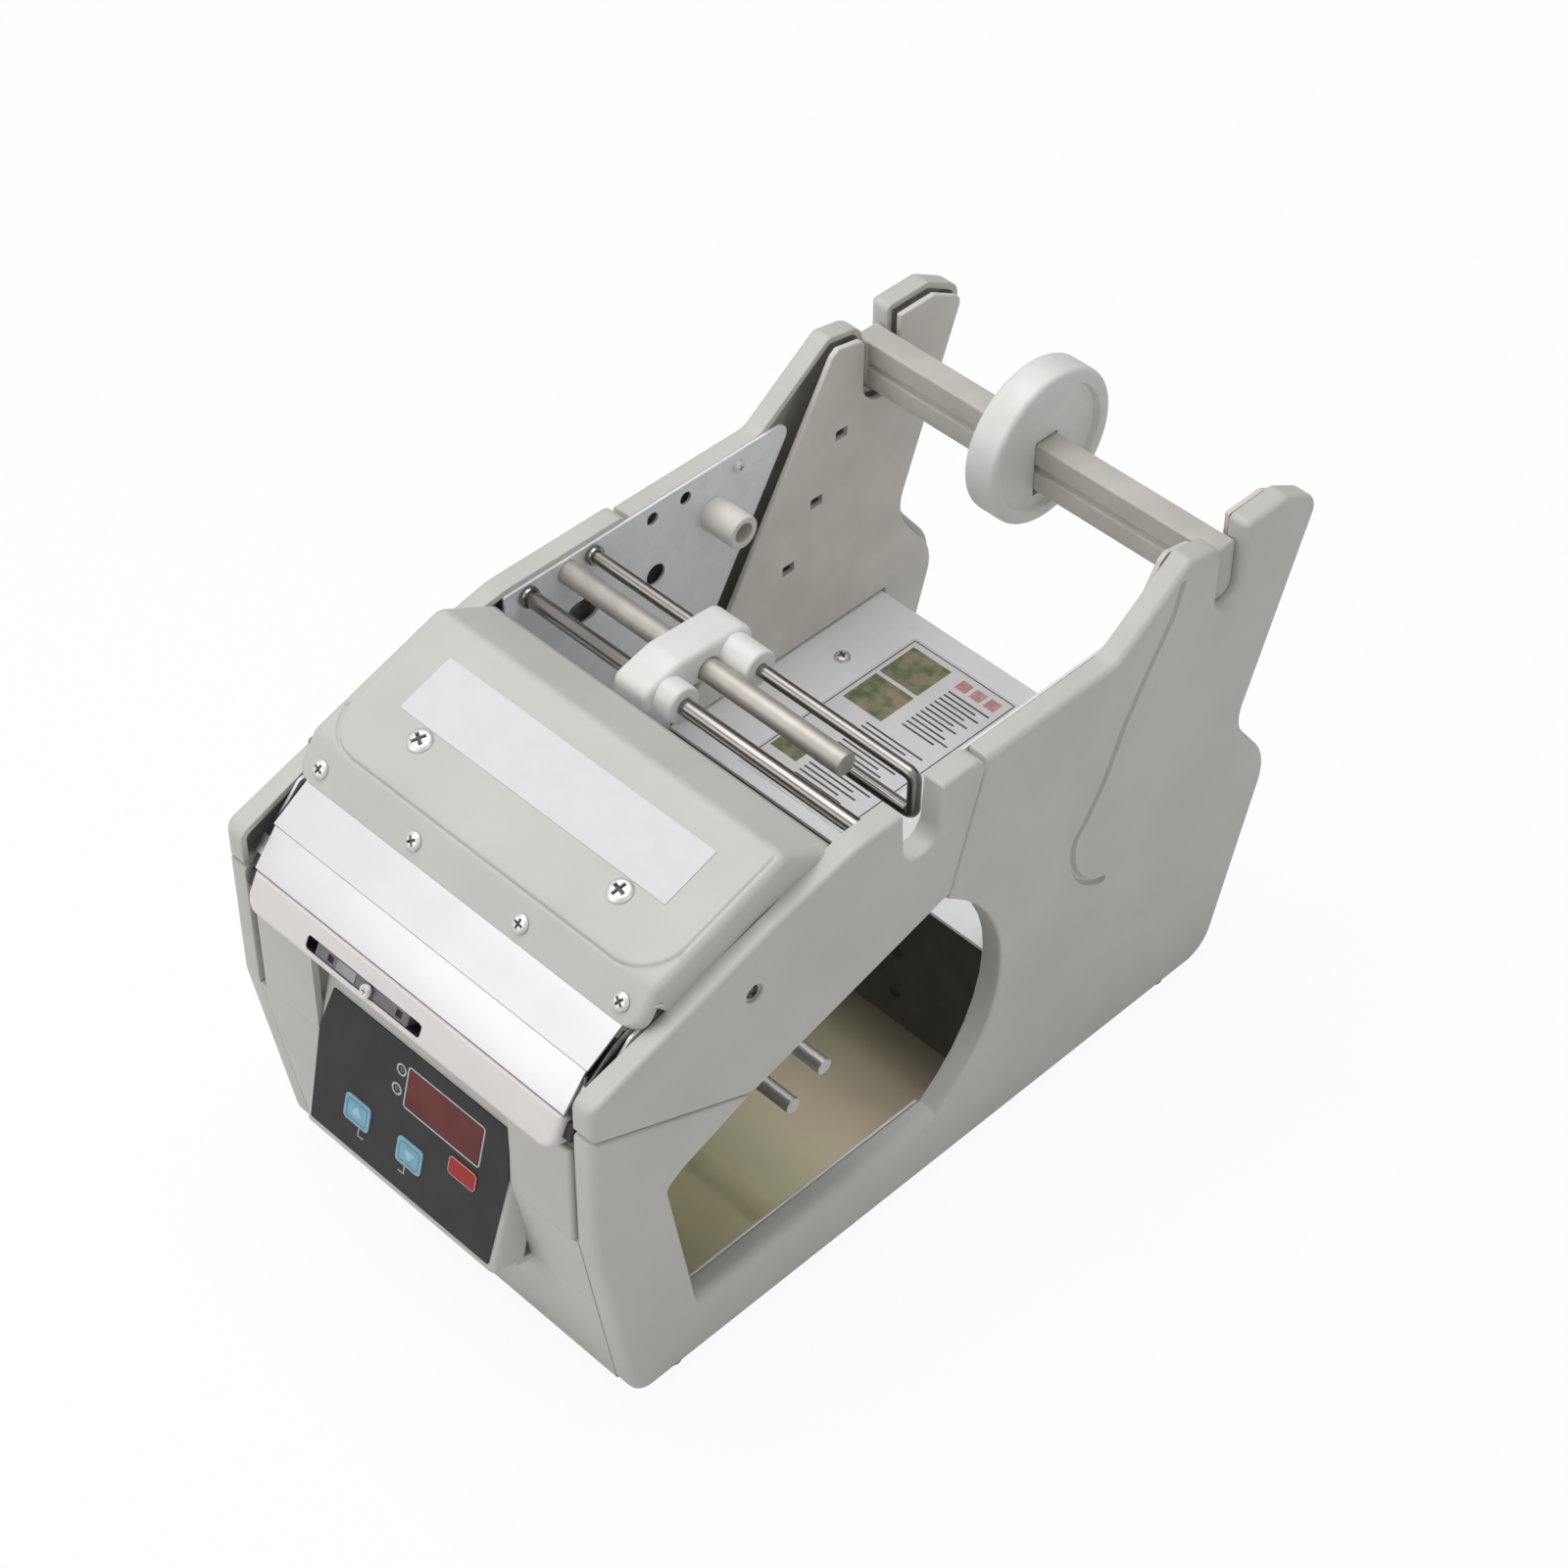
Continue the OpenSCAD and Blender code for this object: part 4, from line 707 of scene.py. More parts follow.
# %% Head covers
HEAD_LOW = [(0, 162.3, 3, 0.3), (78, 126.8, 8, 0.3), (181, 155.8, 2, 0.3)]
HEAD_TOP = [(132, 215.5, 40, 0.8), (88, 206, 60, 0.8), (0, 177.5, 6, 1.6)]
NOTCH = [(198.3, 215.5, 5, 0.8), (174.4, 215.5, 1.5, 0.5), (173, 188, 8, 0.5), (155, 188, 8, 0.5),
    (153.6, 215.5, 1.5, 0.8)]
SCREW_AT = np.array([79.0, 179.0])


def circle(centre, r, steps=40):
    """A circle as points."""
    t = np.linspace(0, 2 * pi, steps, endpoint=False)
    return np.asarray(centre, float) + r * np.column_stack([np.cos(t), np.sin(t)])


def rebated(part):
    """Pushes the inner rim out to the side of the deck cover, from y 29 to y 127 and above a
    line that runs along the lower edge of the cover's flank."""
    p, f = part
    y, z = p[:, 1], p[:, 2]
    near = (y > 29) & (y < 127) & (z > 184.2 + (y - 39) * 0.2558) & (p[:, 0] < DECK + 0.6)
    p[near, 0] = DECK + 0.6
    return p, f


well = [(circle(SCREW_AT, r), d, True) for r, d in ((4.7, 0.0), (4.2, 0.4), (4.1, 1.6), (2.0, 1.7))]
for side, top, flip in (("right", NOTCH + HEAD_TOP, False), ("left", NOTCH[:1] + HEAD_TOP, True)):
    c, soft = split(HEAD_LOW + top)
    part = rebated(rimmed(c, HALF, PANEL, 2.6, soft, 16, shell=HOLLOW, lines=well))
    case(f"head_cover_{side}_skin", [mirrored(part) if flip else part], f"head_cover_{side}")

# %% [markdown]
# ## Deck cover
# The lid over the rollers is a deep pressing-like moulding: a steep brow, a long pad, a rear
# slope, and flanks that turn down into the head covers. A fine groove runs along the front of
# the pad and up both sides with large rounded corners. The whole lid is one sheet: a profile in
# side view carried across, dropped at the flanks by a quarter round, and sunk along the groove
# by depth * exp(-(distance / width)^2).

# %% Deck cover
LID_SIDE = [(28.4, 189.7, 0.05), (39.4, 205.5, 6), (102, 226, 6), (126.9, 212.2, 0.05), (80, 120, 0.05)]
ROUND_OFF = 4.0
profile = arcs(LID_SIDE, 12).reshape(5, 12, 2)
profile = np.concatenate([profile[0, :1], profile[1], profile[2], profile[3, :1]])
run = np.concatenate([[0], np.cumsum(np.linalg.norm(np.diff(profile, axis=0), axis=1))])
CREASE, RIDGE, END = 19.1, 84.8, run[-1]


def profile_at(s):
    """Point and outward direction of the lid's profile at a distance s from the brow's foot."""
    def at(q):
        return np.column_stack([np.interp(q, run, profile[:, 0]), np.interp(q, run, profile[:, 1])])

    tangent = unit(at(np.clip(s + 0.4, 0, END)) - at(np.clip(s - 0.4, 0, END)))
    return at(s), np.column_stack([-tangent[:, 1], tangent[:, 0]])


s = np.unique(np.concatenate([np.linspace(0, 15, 22), np.linspace(15, 44, 66), np.linspace(44, RIDGE - 4, 20),
    np.linspace(RIDGE - 4, RIDGE + 4, 14), np.linspace(RIDGE + 4, END, 12)]).round(4))
flank = np.linspace(0, pi / 2, 8)
half_x = np.concatenate([np.linspace(0, 62, 24), np.linspace(62.5, DECK - ROUND_OFF, 56)])
across = np.concatenate([-half_x[:0:-1], half_x])
path, out = profile_at(s)
# The flanks' lower edge, at five places along the profile
EDGE_AT = [0, 13.5, CREASE, RIDGE, END]
foot_y = np.interp(s, EDGE_AT, [0, 38.6, 45.9, 103, 125.4])
foot_z = np.interp(s, EDGE_AT, [0, 198.4, 187.4, 202.2, 207.3])
# In front the lid narrows in a quarter round
NOSE = 7
nose = np.clip(NOSE - s, 0, NOSE)
width = DECK - (NOSE - np.sqrt(NOSE ** 2 - nose ** 2))
walled = s >= 13.4
levels = np.array([0.25, 0.5, 0.75, 1.0])


def lid_column(x, drop, level):
    """One line of points down the lid: x across, drop below the surface, level towards the foot."""
    base = path - out * drop
    foot = np.where(walled[:, None], np.column_stack([foot_y, foot_z]), path - out * 4.6)
    return np.column_stack([x, base + (foot - base) * level])


def fading(length):
    """1 on the pad, falling to 0 over a length that ends at the ridge."""
    return (1 - np.clip((s - RIDGE + length) / length, 0, 1))[:, None]


share = width / DECK
spread = across * share[:, None]
from_middle, along_pad = np.abs(spread) - 69.0, 20.0 - (s - (CREASE - 1.0))[:, None]
corner = np.hypot(np.maximum(from_middle, 0), np.maximum(along_pad, 0))
distance = corner - 20 + np.minimum(np.maximum(from_middle, along_pad), 0)
sink = 1.15 * np.exp(-(distance / 0.7) ** 2) + 0.25 / (1 + np.exp(-distance / 0.5)) * fading(6)
sink *= fading(3)
top = np.concatenate([spread[:, :, None], path[:, None] - out[:, None] * sink[:, :, None]], 2)
right = []
for a in flank[1:]:
    x = width - ROUND_OFF * share + ROUND_OFF * share * sin(a)
    right.append(lid_column(x, 0.25 + ROUND_OFF * (1 - cos(a)), 0.0))
right += [lid_column(width, 0.25 + ROUND_OFF, v) for v in levels]
right = np.stack(right, 1)
left = right[:, ::-1] * [-1, 1, 1]
sheet = np.concatenate([left, top, right], 1)
rows, columns = sheet.shape[:2]
sheet_faces = [f[::-1] for f in grid_faces(rows, columns, closed=False)]
lid = case("deck_cover_skin", [(sheet.reshape(-1, 3), sheet_faces)], "deck_cover", angle=60)
wall = lid.modifiers.new("wall", "SOLIDIFY")
wall.thickness, wall.offset = 0.0022, -1
print("groove corner radius 20 mm, sheet", rows, "x", columns)

# %% [markdown]
# ## Screws
# The visible screws are pan heads. A head is nearly flat and falls at its rim as (r / R)^5, and a
# tapered cross is pressed into it. Each head stands on a narrow neck, so a fine dark line runs
# round it.

# %% Pan-head screws
def pan_head(at, lean, radius, height, turn, steps=112):
    """Height = H (0.3 + 0.7 (1 - (r / R)^5)) - 0.8 H * step, where step rises from 0 to 1 over
    0.3 mm at the edge of a cross whose arms are 0.56 R long and 0.25 R wide."""
    r = np.concatenate([[0.003], np.linspace(0.06, 0.9, 30), [0.95, 0.98, 1]]) * radius
    t = np.linspace(0, 2 * pi, steps, endpoint=False)
    u, v = abs(r[:, None] * np.cos(t + turn)), abs(r[:, None] * np.sin(t + turn))
    arm, half = 0.56 * radius, 0.125 * radius
    near = np.minimum(np.maximum(u - arm, v - half), np.maximum(v - arm, u - half))
    step = np.clip(0.5 - near / 0.3, 0, 1)
    dome = height * (1 - (r[:, None] / radius) ** 5) * 0.7 + height * 0.3
    high = dome - 0.8 * height * step ** 2 * (3 - 2 * step)
    rings = [np.stack([high, r[:, None] * np.cos(t), r[:, None] * np.sin(t)], 2)]
    for w, k in ((0.02, radius), (-0.02, radius - 0.5), (-0.9, radius - 0.9)):
        rings.append(np.column_stack([np.full(steps, w), k * np.cos(t), k * np.sin(t)])[None])
    rings = np.concatenate(rings)
    faces = np.array(grid_faces(len(rings), steps))
    # Faces inside the cross take the second material, which is painted shade
    pressed = np.concatenate([step.reshape(-1), np.zeros(3 * steps)])[faces].mean(1) > 0.6
    base = [list(range((len(rings) - 1) * steps, len(rings) * steps))[::-1]]
    p = rings.reshape(-1, 3)
    if lean is not None:
        p, _ = leaning((p, []), (0, 0), lean)
    return [(p + at, faces[~pressed].tolist() + base), (p + at, faces[pressed].tolist())]


def on_plane(at, lean, x, up, out=0.0):
    """The place of a point x across, up a leaning plane and out of it."""
    c, k = cos(radians(lean)), sin(radians(lean))
    return np.array([x, at[0] + up * c - out * k, at[1] + up * k + out * c])


# Planes that lean: (y, z) of their lower edge and the angle from the horizontal
PAD = ((39.4, 205.5), 18.13)
BROW = ((28.4, 189.7), 55.15)
LIP = ((0.6, 163.4), 64.1)
FACE = ((-2.85, 91.35), 75.5)
small_at = ((-80.8, 0.35), (-28.8, 0.9), (28.8, 0.15), (80.8, 0.6))
small = [pan_head(on_plane(*BROW, x, 7.5), BROW[1], 3.7, 1.5, k) for x, k in small_at]
large = [pan_head(on_plane(*PAD, x, 20.1), PAD[1], 5.3, 1.9, k) for x, k in ((-53.3, 0.5), (53.3, 0.2))]
rear = [pan_head(np.array([x, 297.0, 90.0]), 0, 3.7, 2.0, k) for x, k in ((-68, 0.4), (68, 0.8))]


def screws(name, heads, replaces=(), plating=bright_nickel):
    """Several heads as one piece, with painted shade, a darker grey, at the bottom of each cross."""
    parts = [q for head in heads for q in head]
    numbers = [0, 1] * len(heads)
    piece(name, parts, "machine", [plating, painted_cross_shade], replaces, "bright_screws", numbers=numbers)


screws("deck_screws_small_heads", small, ["deck_screws_small"])
screws("deck_screws_large_heads", large, ["deck_screws_large"])
cover = pan_head(np.array([98.25, *SCREW_AT]), None, 2.9, 1.2, 0.5)
screws("head_cover_screws", [cover, [mirrored(q) for q in cover]], plating=black_wire)
screws("rear_plate_screws_heads", rear, ["rear_plate_screws"])

# %% [markdown]
# ## Front panel
# The front is one moulding: sheets on both sides that bend at knee height, and a block that
# leans forward and carries the display. The block's face has openings for the keys, the window
# and the two lamps, so a pressed key moves into its opening. Its rim is a 2.6 mm round, which
# shows as a light frame round the dark film.

# %% Front panel
# Boxes on the block's face: low x, low height, high x, high height
KEYS = {"up": (-33.5, -18, -19.3, -6), "down": (-3.6, -18, 10.4, -6), "reset": (23.4, -5, 38.5, 3.5)}
WINDOW = (-3.4, 7.5, 37.3, 25)
BLOCK = (-54.4, -35.4, 54.4, 57.4)
LAMPS = ((-7.7, 21.7), (-8.7, 12))
# Side views of the sheets beside the block: y, z, corner radius, softness of the edge
LOW_SIDE = [(16.1, 3, 2, 1), (19.2, 3, 0.5, 1), (10.5, 56, 0.4, 0), (7.26, 56, 0.4, 0)]
MID_SIDE = [(7.26, 56, 0.4, 0), (10.5, 56, 0.4, 0), (3.5, 98, 0.4, 0), (0.33, 98, 0.4, 0)]
TOP_SIDE = [(0.33, 98, 0.3, 0), (3.4, 98, 0.3, 0), (3.0, 100, 5, 0), (3.0, 147, 0.8, 0.3),
    (0.02, 147, 1.5, 1), (0.02, 100, 14, 1)]
UNDER_SIDE = [(0, 54.05, 0.2), (9.6, 51.6, 0.2), (9.6, 54.6, 0.2), (0, 57, 0.2)]


def opening(b, gap, r, steps=6):
    """A rectangle with round corners, larger than box b by a gap all round."""
    return arcs(box_corners(b[0] - gap, b[1] - gap, b[2] + gap, b[3] + gap, r), steps)


openings = [opening(b, 0.25, 2.0) for b in KEYS.values()]
openings.append(opening(WINDOW, 0.2, 1.2))
openings += [circle(q, 1.6, 24) for q in LAMPS]
block = rimmed(box_corners(*BLOCK, 3.5), 0.0, -15.0, 2.6, 1.0, 8, shell=(3, -3.0), holes=openings)
sheets = []
for side, inner_x, outer_x, edge in ((MID_SIDE, 54.0, 89.6, 0.05), (TOP_SIDE, 54.4, 87.3, 2.2)):
    corners, soft = split(side)
    right_sheet = rimmed(corners, outer_x, inner_x, edge, soft, 6, inner=0.05)
    sheets += [right_sheet, mirrored(right_sheet)]
sheets.append(rimmed(split(LOW_SIDE)[0], 89.6, -89.6, 0.05, 0, 6, inner=0.05))
under = rimmed(UNDER_SIDE, 54.3, -54.3, 0.05, 0, 3, inner=0.05)
case("front_panel_skin", [leaning(block, *FACE), under, *sheets], "front_panel")

# %% [markdown]
# ## Display
# A polyester film is printed with pale outlines round the window, the keys and the lamps, and
# with a bracket under each blue key. No words are printed here. The keys are low caps with
# rounded edges, and the two blue ones carry a plain triangle.

# %% Film, window, lamps and keys
FILM = ((-50.8, -31), (50.8, -31), (53.2, 12.3), (48.7, 33), (-48.7, 33), (-53.2, 12.3))
film = rimmed([(*q, 0.8) for q in FILM], 0.6, 0.02, 0.12, 1.0, 6, inner=0.02, holes=openings)
prints = [ribbon(opening(WINDOW, 1.0, 1.8), 0.75, 0.5, 0.64)]
prints += [ribbon(circle(q, 2.7), 0.8, 0.5, 0.64) for q in LAMPS]
for b, way in ((KEYS["up"], 1), (KEYS["down"], -1)):
    mid = (b[0] + b[2]) / 2 + way * 1.5
    bracket = np.array([(mid, b[1] - 0.8), (mid, b[1] - 4.6), (mid + way * 3.4, b[1] - 4.6)])
    prints.append(ribbon(bracket if way > 0 else bracket[::-1], 0.6, 0.5, 0.63, False))
piece("display_film", [leaning(q, *FACE) for q in (film, *prints)], "machine", [overlay_film, pale_ink],
    ["display_overlay"], numbers=[0] + [1] * len(prints))
glass = rimmed(box_corners(*WINDOW, 1.0), 0.62, -1.3, 0.2, 1.0, 6, inner=0.1)
piece("display_glass", [leaning(glass, *FACE)], "machine", red_acrylic, ["display_window"])
lens = [(-2.5, 1.45), (0.3, 1.45), (0.5, 1.35), (0.62, 1.1), (0.7, 0.6), (0.72, 0.05)]
out_of_face = (0, -sin(radians(FACE[1])), cos(radians(FACE[1])))
domes = [turned(lens, on_plane(*FACE, *q), out_of_face, 32) for q in LAMPS]
piece("mode_lamp_domes", domes, "machine", lamp_epoxy, ["mode_leds"])


def arrow(b, way):
    """A plain triangle in the middle of a key, pointing up or down its face."""
    x, z = (b[0] + b[2]) / 2, (b[1] + b[3]) / 2
    low, high = z - 1.8 * way, z + 2.9 * way
    return arcs([(x - 3.2, low, 0.5), (x + 3.2, low, 0.5), (x, high, 0.5)][::way], 5)


for key, b in KEYS.items():
    parts = [rimmed(box_corners(*b, 1.9), 1.2, -2.9, 0.45, 1.0, 8, inner=0.1)]
    parts.append(ribbon(opening(b, -0.1, 1.8, 8), 0.5, 1.0, 1.19))
    numbers = [0, 1]
    if key != "reset":
        shape = arrow(b, 1 if key == "up" else -1)
        v, _, tris = cap(shape)
        parts.append(ribbon(opening(b, -1.5, 1.4, 8), 0.28, 1.1, 1.23))
        parts.append((np.column_stack([np.full(len(v), 1.23), v]), tris))
        parts.append(ribbon(shape, 0.1, 1.1, 1.23))
        numbers += [2, 3, 3]
    skin = red_film if key == "reset" else blue_film
    piece(f"{key}_key_cap", [leaning(q, *FACE) for q in parts], f"key_{key}",
        [skin, pale_ink, dark_ink, light_ink], [f"{key}_key"], numbers=numbers)

# %% [markdown]
# ## Lip and peel plates
# The lip is a painted aluminium extrusion with a large lower round. The label sensor looks
# through its slot. Two polished strips stand over it, and the sharp lower one peels the labels.

# %% Lip and plates
LIP_FACE = [(-84.6, -16, 7), (84.6, -16, 7), (84.6, 0, 1.2), (-84.6, 0, 1.2)]
slot = arcs(box_corners(-50.2, -13, 13.2, -7, 1.6), 6)
beam = rimmed(LIP_FACE, 0.0, -7.9, 2.6, [0.8, 1, 0.45, 1], 10, holes=[slot])
p, f = rimmed(box_corners(3.2, -9, 7.8, -2, 0.5), 88.5, 84.0, 0.4)
c, k = cos(radians(25.9)), sin(radians(25.9))
peg = (np.column_stack([p[:, 0], 0.6 + p[:, 1] * c + p[:, 2] * k, 163.4 - p[:, 1] * k + p[:, 2] * c]), f)
slot_wall = ribbon(slot, 0.12, -7.7, -0.5)
piece("sensor_lip", [leaning(beam, *LIP), peg, mirrored(peg), leaning(slot_wall, *LIP)], "machine",
    [grey_enamel, black_abs], ["sensor_beam"], numbers=[0, 1, 1, 1])

SENSOR = (-45, -12.7, 6, -7.3)
eye_at = [(SENSOR[0] + 6.4, -11.6), (SENSOR[2] - 6.6, -11.6)]
eyes = [arcs(box_corners(x, z, x + 3.2, z + 3.2, 0.4), 4) for x, z in eye_at]
front = rimmed(box_corners(*SENSOR, 0.5), -0.5, -8.2, 0.3, 1.0, 5, inner=0.1, holes=eyes)
base = rimmed(box_corners(SENSOR[0], -12.7, SENSOR[2], -4.6, 0.4), -8.15, -9.3, 0.2, 1.0, 5, inner=0.1)
badge = rimmed(box_corners(SENSOR[0] + 11.5, -12.2, SENSOR[0] + 22, -7.8, 0.3), -0.2, -0.7, 0.15, 1.0, 4)
lenses = []
for x, z in eye_at:
    corners = box_corners(x + 0.05, z + 0.05, x + 3.15, z + 3.15, 0.35)
    lenses.append(rimmed(corners, -1.3, -3.0, 0.1, 1.0, 4))
out_of_lip = (0, -sin(radians(LIP[1])), cos(radians(LIP[1])))
boss = turned([(-0.8, 2.5), (0.6, 2.5), (0.78, 2.3)], on_plane(*LIP, -15.5, -10), out_of_lip, 40)
piece("sensor_body", [*[leaning(q, *LIP) for q in (front, base, badge, *lenses)], boss], "sensor",
    [sensor_grey, plated_steel, overlay_film], ["label_sensor"], numbers=[0, 0, 1, 2, 2, 1])

low, high = np.array([0.9, 164.3]), np.array([12.1, 178.7])
edge_dir = unit(high - low)
into = 1.45 * np.array([edge_dir[1], -edge_dir[0]])
strip_side = [(*low, 0.35), (*(low + into), 0.2), (*(high + into), 0.2), (*high, 0.12)]
strip = rimmed(strip_side, 84.3, -84.3, 0.2, 1.0, 6, inner=0.25)
piece("peel_strip_bright", [strip], "machine", polished_steel, ["peel_strip"])
PLATE_SIDE = [(12.9, 178.3, 0.1), (30.8, 189.5, 0.3), (30.1, 190.55, 0.3), (12.2, 179.3, 0.2),
    (12.15, 178.85, 0.1)]
plate = rimmed(PLATE_SIDE, 85, -85, 0.2, 1.0, 6, inner=0.2)
piece("peel_plate_bright", [plate], "machine", polished_steel, ["peel_plate"])

# %% [markdown]
# ## Arm linings
# A styrene lining covers the hollow of each arm. Its outline is the panel's outline moved
# inwards, cut off by a straight edge in front, with three slots for cable clips. It stands on the
# rear box and reaches down behind it.

# %% Arm linings
def crossing(a, b, c, d):
    """The point where the line through a and b meets the line through c and d."""
    e, g = b - a, d - c
    return a + e * ((c - a)[0] * g[1] - (c - a)[1] * g[0]) / (e[0] * g[1] - e[1] * g[0])


CLIPS = ((311.5, 193), (297.5, 165), (281.5, 138))
BASE_Z = 14.0
deep = moved([c[:3] for c in ARMS], 3.4)
flat, r = deep[:, :2], deep[:, 2]
cut = np.array([(222.0, 91.0), (303.0, 231.0)])
foot = crossing(flat[1], flat[2], np.array([222.0, BASE_Z]), np.array([390.0, BASE_Z]))
neck = crossing(flat[10], flat[11], *cut)
lining = [(*cut[0], 1), (341.5, 91.0, 0.6), (341.5, BASE_Z, 1), (*foot, 2)]
lining += [(*flat[i], max(r[i], 0.8)) for i in range(2, 11)]
lining.append((*neck, 2))
clips = [arcs(box_corners(y - 3.4, z - 2.6, y + 3.4, z + 2.6, 0.5), 3) for y, z in CLIPS]
skin = rimmed(lining, -85.2, -87.6, 0.8, 1.0, 8, inner=0.1, holes=clips)
for side, part in (("left", skin), ("right", mirrored(skin))):
    piece(f"arm_liner_{side}_skin", [part], "machine", liner_plastic, [f"arm_liner_{side}"])
BOX_FRONT = 216.0
# A dark grey sheet over the rear box's front: painted shade
p, f = rimmed(box_corners(-88.2, 13.2, 88.2, 88.4, 0.5), 0.25, -0.1, 0.1, 1.0, 4, inner=0.02)
coat = (np.column_stack([p[:, 1], BOX_FRONT - p[:, 0], p[:, 2]]), f)
# Two dark discs stand for the two holes in the box front: painted shade
painted_hole_shades = [turned([(0, 2.6), (0.6, 2.6), (0.9, 2.2)], (43, BOX_FRONT, z), (0, -1, 0), 32) for z in (30, 54)]
piece("rear_box_front_painted_shade", [coat, *painted_hole_shades], "machine", [painted_shade_sheet, foot_rubber],
    slot="galvanised_sheet", numbers=[0, 1, 1])
edge = rimmed(box_corners(50.5, 29.6, 179.5, 30.9, 0.3), 89.9, 88.7, 0.3, 1.0, 5, inner=0.3)
piece("frame_plate_cut_edge", [edge], "machine", polished_steel, slot="galvanised_sheet")

# %% [markdown]
# Four soft rubber bumpers carry the machine. Each is a dome that narrows towards the table.

# %% Feet
dome = [(-2.5, 2.2), (-2.45, 2.6), (-2.1, 3.1), (-1.4, 3.5), (-0.6, 3.75), (0, 3.8)]
bumpers = [turned(dome, (x, y, 0), (0, 0, 1), 48) for x in (-95, 95) for y in (40, 320)]
piece("foot_bumpers", bumpers, "machine", foot_rubber, ["feet"])

# %% [markdown]
# ## Rods and wire bail
# The two guide rods and the bail are drawn round wire and ground bar. Their ends are chamfered
# so that the nylon guide slides on without being cut.

# %% Rods and bail
# Places (y, z) of the three rods
FRONT_ROD, GUIDE_ROD, BAIL = (143, 207.7), (164, 207), (177, 208)


def rod(x0, x1, at, r, q=0.5):
    """A turned bar along x, chamfered by q at both ends."""
    start = [(0, r - q), (q * 0.3, r - q * 0.3), (q, r)]
    end = [(x1 - x0 - d, k) for d, k in start[::-1]]
    return turned(start + end, (x0, *at), (1, 0, 0), 64)


def collar(x, at, r):
    """A ring of 2.4 mm with rounded edges, pressed on a rod against the frame plate."""
    ring = [(0, r - 0.5), (0.15, r - 0.15), (0.5, r), (1.9, r), (2.25, r - 0.15), (2.4, r - 0.5)]
    return turned(ring, (x, *at), (1, 0, 0), 48)


front_rod = [rod(-89.6, 89.6, FRONT_ROD, 3.5), collar(-88.5, FRONT_ROD, 4.6)]
piece("front_rod_bar", front_rod, "machine", hard_chrome, ["front_rod"])
guide_rod = rod(-89.6, 61.4, GUIDE_ROD, 5, 0.9)
piece("guide_rod_bar", [guide_rod], "machine", matt_plating, ["guide_rod"])
# The bail in front view: its right end, its lower leg's height and the radius of its bends
BAIL_END, LOWER_LEG, TURN = 83.35, 188.5, 3.4
q = np.linspace(0, pi / 2, 12)[1:]
bend_x, bend_z = TURN * np.sin(q), TURN * (1 - np.cos(q))
start = BAIL_END - TURN
legs = [(np.linspace(-89.6, start - 0.05, 20), np.full(20, BAIL[1])), (start + bend_x, BAIL[1] - bend_z),
    (np.full(9, BAIL_END), np.linspace(203.8, 192.7, 9)), (start + bend_x[::-1], LOWER_LEG + bend_z[::-1]),
    (np.linspace(start - 0.05, -80.4, 20), np.full(20, LOWER_LEG))]
wire = np.concatenate([np.column_stack([x, np.full(len(x), BAIL[0]), z]) for x, z in legs])
bail = [tube(wire, 2.75, 40), collar(-88.4, BAIL, 4.2)]
piece("bail_wire", bail, "bail", hard_chrome, ["wire_bail"])

# %% [markdown]
# A short turned tube stands on the left frame plate, and a spring of black wire presses the web
# down at the right end of the peel plates. The wire runs on a smooth curve, over a black plastic
# seat that fills the gap between the plates and the frame, and on under the deck cover.

# %% Tube boss and spring wire
TUBE_SIDE = [(0, 4.5), (0, 7.5), (16.7, 7.5), (17.2, 7.35), (17.5, 7.0), (17.5, 4.9), (17.2, 4.5)]
KNOTS = np.array([(84.9, 11.6, 176.6), (86.9, 10.9, 174.9), (87.3, 14.0, 177.6), (87.4, 19.5, 182.0),
    (87.4, 25.0, 185.8), (87.4, 29.5, 187.6), (87.4, 34.0, 189.6)])
SEAT_SIDE = [(4.1, 161.8, 0.3), (15.0, 174.4, 1), (31.0, 184.6, 0.3), (30.0, 186.2, 0.3), (14.0, 176.0, 1),
    (2.9, 162.8, 0.3)]
tube_boss = turned(TUBE_SIDE, (-88.6, 242, 190), (1, 0, 0), 64, closed=True)
piece("tube_boss_turned", [tube_boss], "machine", liner_plastic, ["tube_boss"])
k = np.linspace(0, 1, len(KNOTS))
fine = np.linspace(0, 1, 70)
curve = np.column_stack([np.polyval(np.polyfit(k, KNOTS[:, i], 4), fine) for i in range(3)])
piece("peel_spring_wire", [tube(curve, 1.05, 24)], "machine", black_wire, ["peel_wire"])
seat = rimmed(SEAT_SIDE, 88.5, 84.6, 0.3, 1.0, 5, inner=0.2)
piece("spring_seats", [seat, mirrored(seat)], "machine", black_abs, slot="black_plastic")

# %% [markdown]
# ## Paper guide
# Two of the rods run through this nylon moulding. It is a thick web with large rounds and two
# long bosses, bored for the rods.

# %% Paper guide
WEB_SIDE = [(131.6, 204.2, 4), (188, 199.3, 5), (188, 216.4, 8), (150, 218.8, 12), (131.6, 214, 5)]
bores = [circle(FRONT_ROD, 3.6), circle(GUIDE_ROD, 5.4, 48), circle(BAIL, 2.85)]
web = rimmed(WEB_SIDE, -11.0, -29.0, 2.4, 1.0, 10, inner=2.2, holes=bores)
bosses = []
for at, x1, bore in ((FRONT_ROD, -2.0, 3.6), (BAIL, 4.0, 2.85)):
    length = x1 + 28
    rim = [(length - 1.3 + 1.3 * sin(a), 8 - 1.3 * (1 - cos(a))) for a in np.linspace(0, pi / 2, 6)]
    section = [(0, bore), (0, 7.0), (1, 8), *rim, (length, bore)]
    bosses.append(turned(section, (-28, *at), (1, 0, 0), 72, closed=True))
piece("paper_guide_nylon", [web, *bosses], "guide", white_nylon, ["paper_guide"])

# %% [markdown]
# ## Roll bar and disc
# The flat roll bar is an aluminium extrusion with a groove along each face. Its moulded ends
# drop into the slots of the arms. The nylon disc centres the core of the label roll; its right
# face is dished, and a flat hole keeps it from turning on the bar.

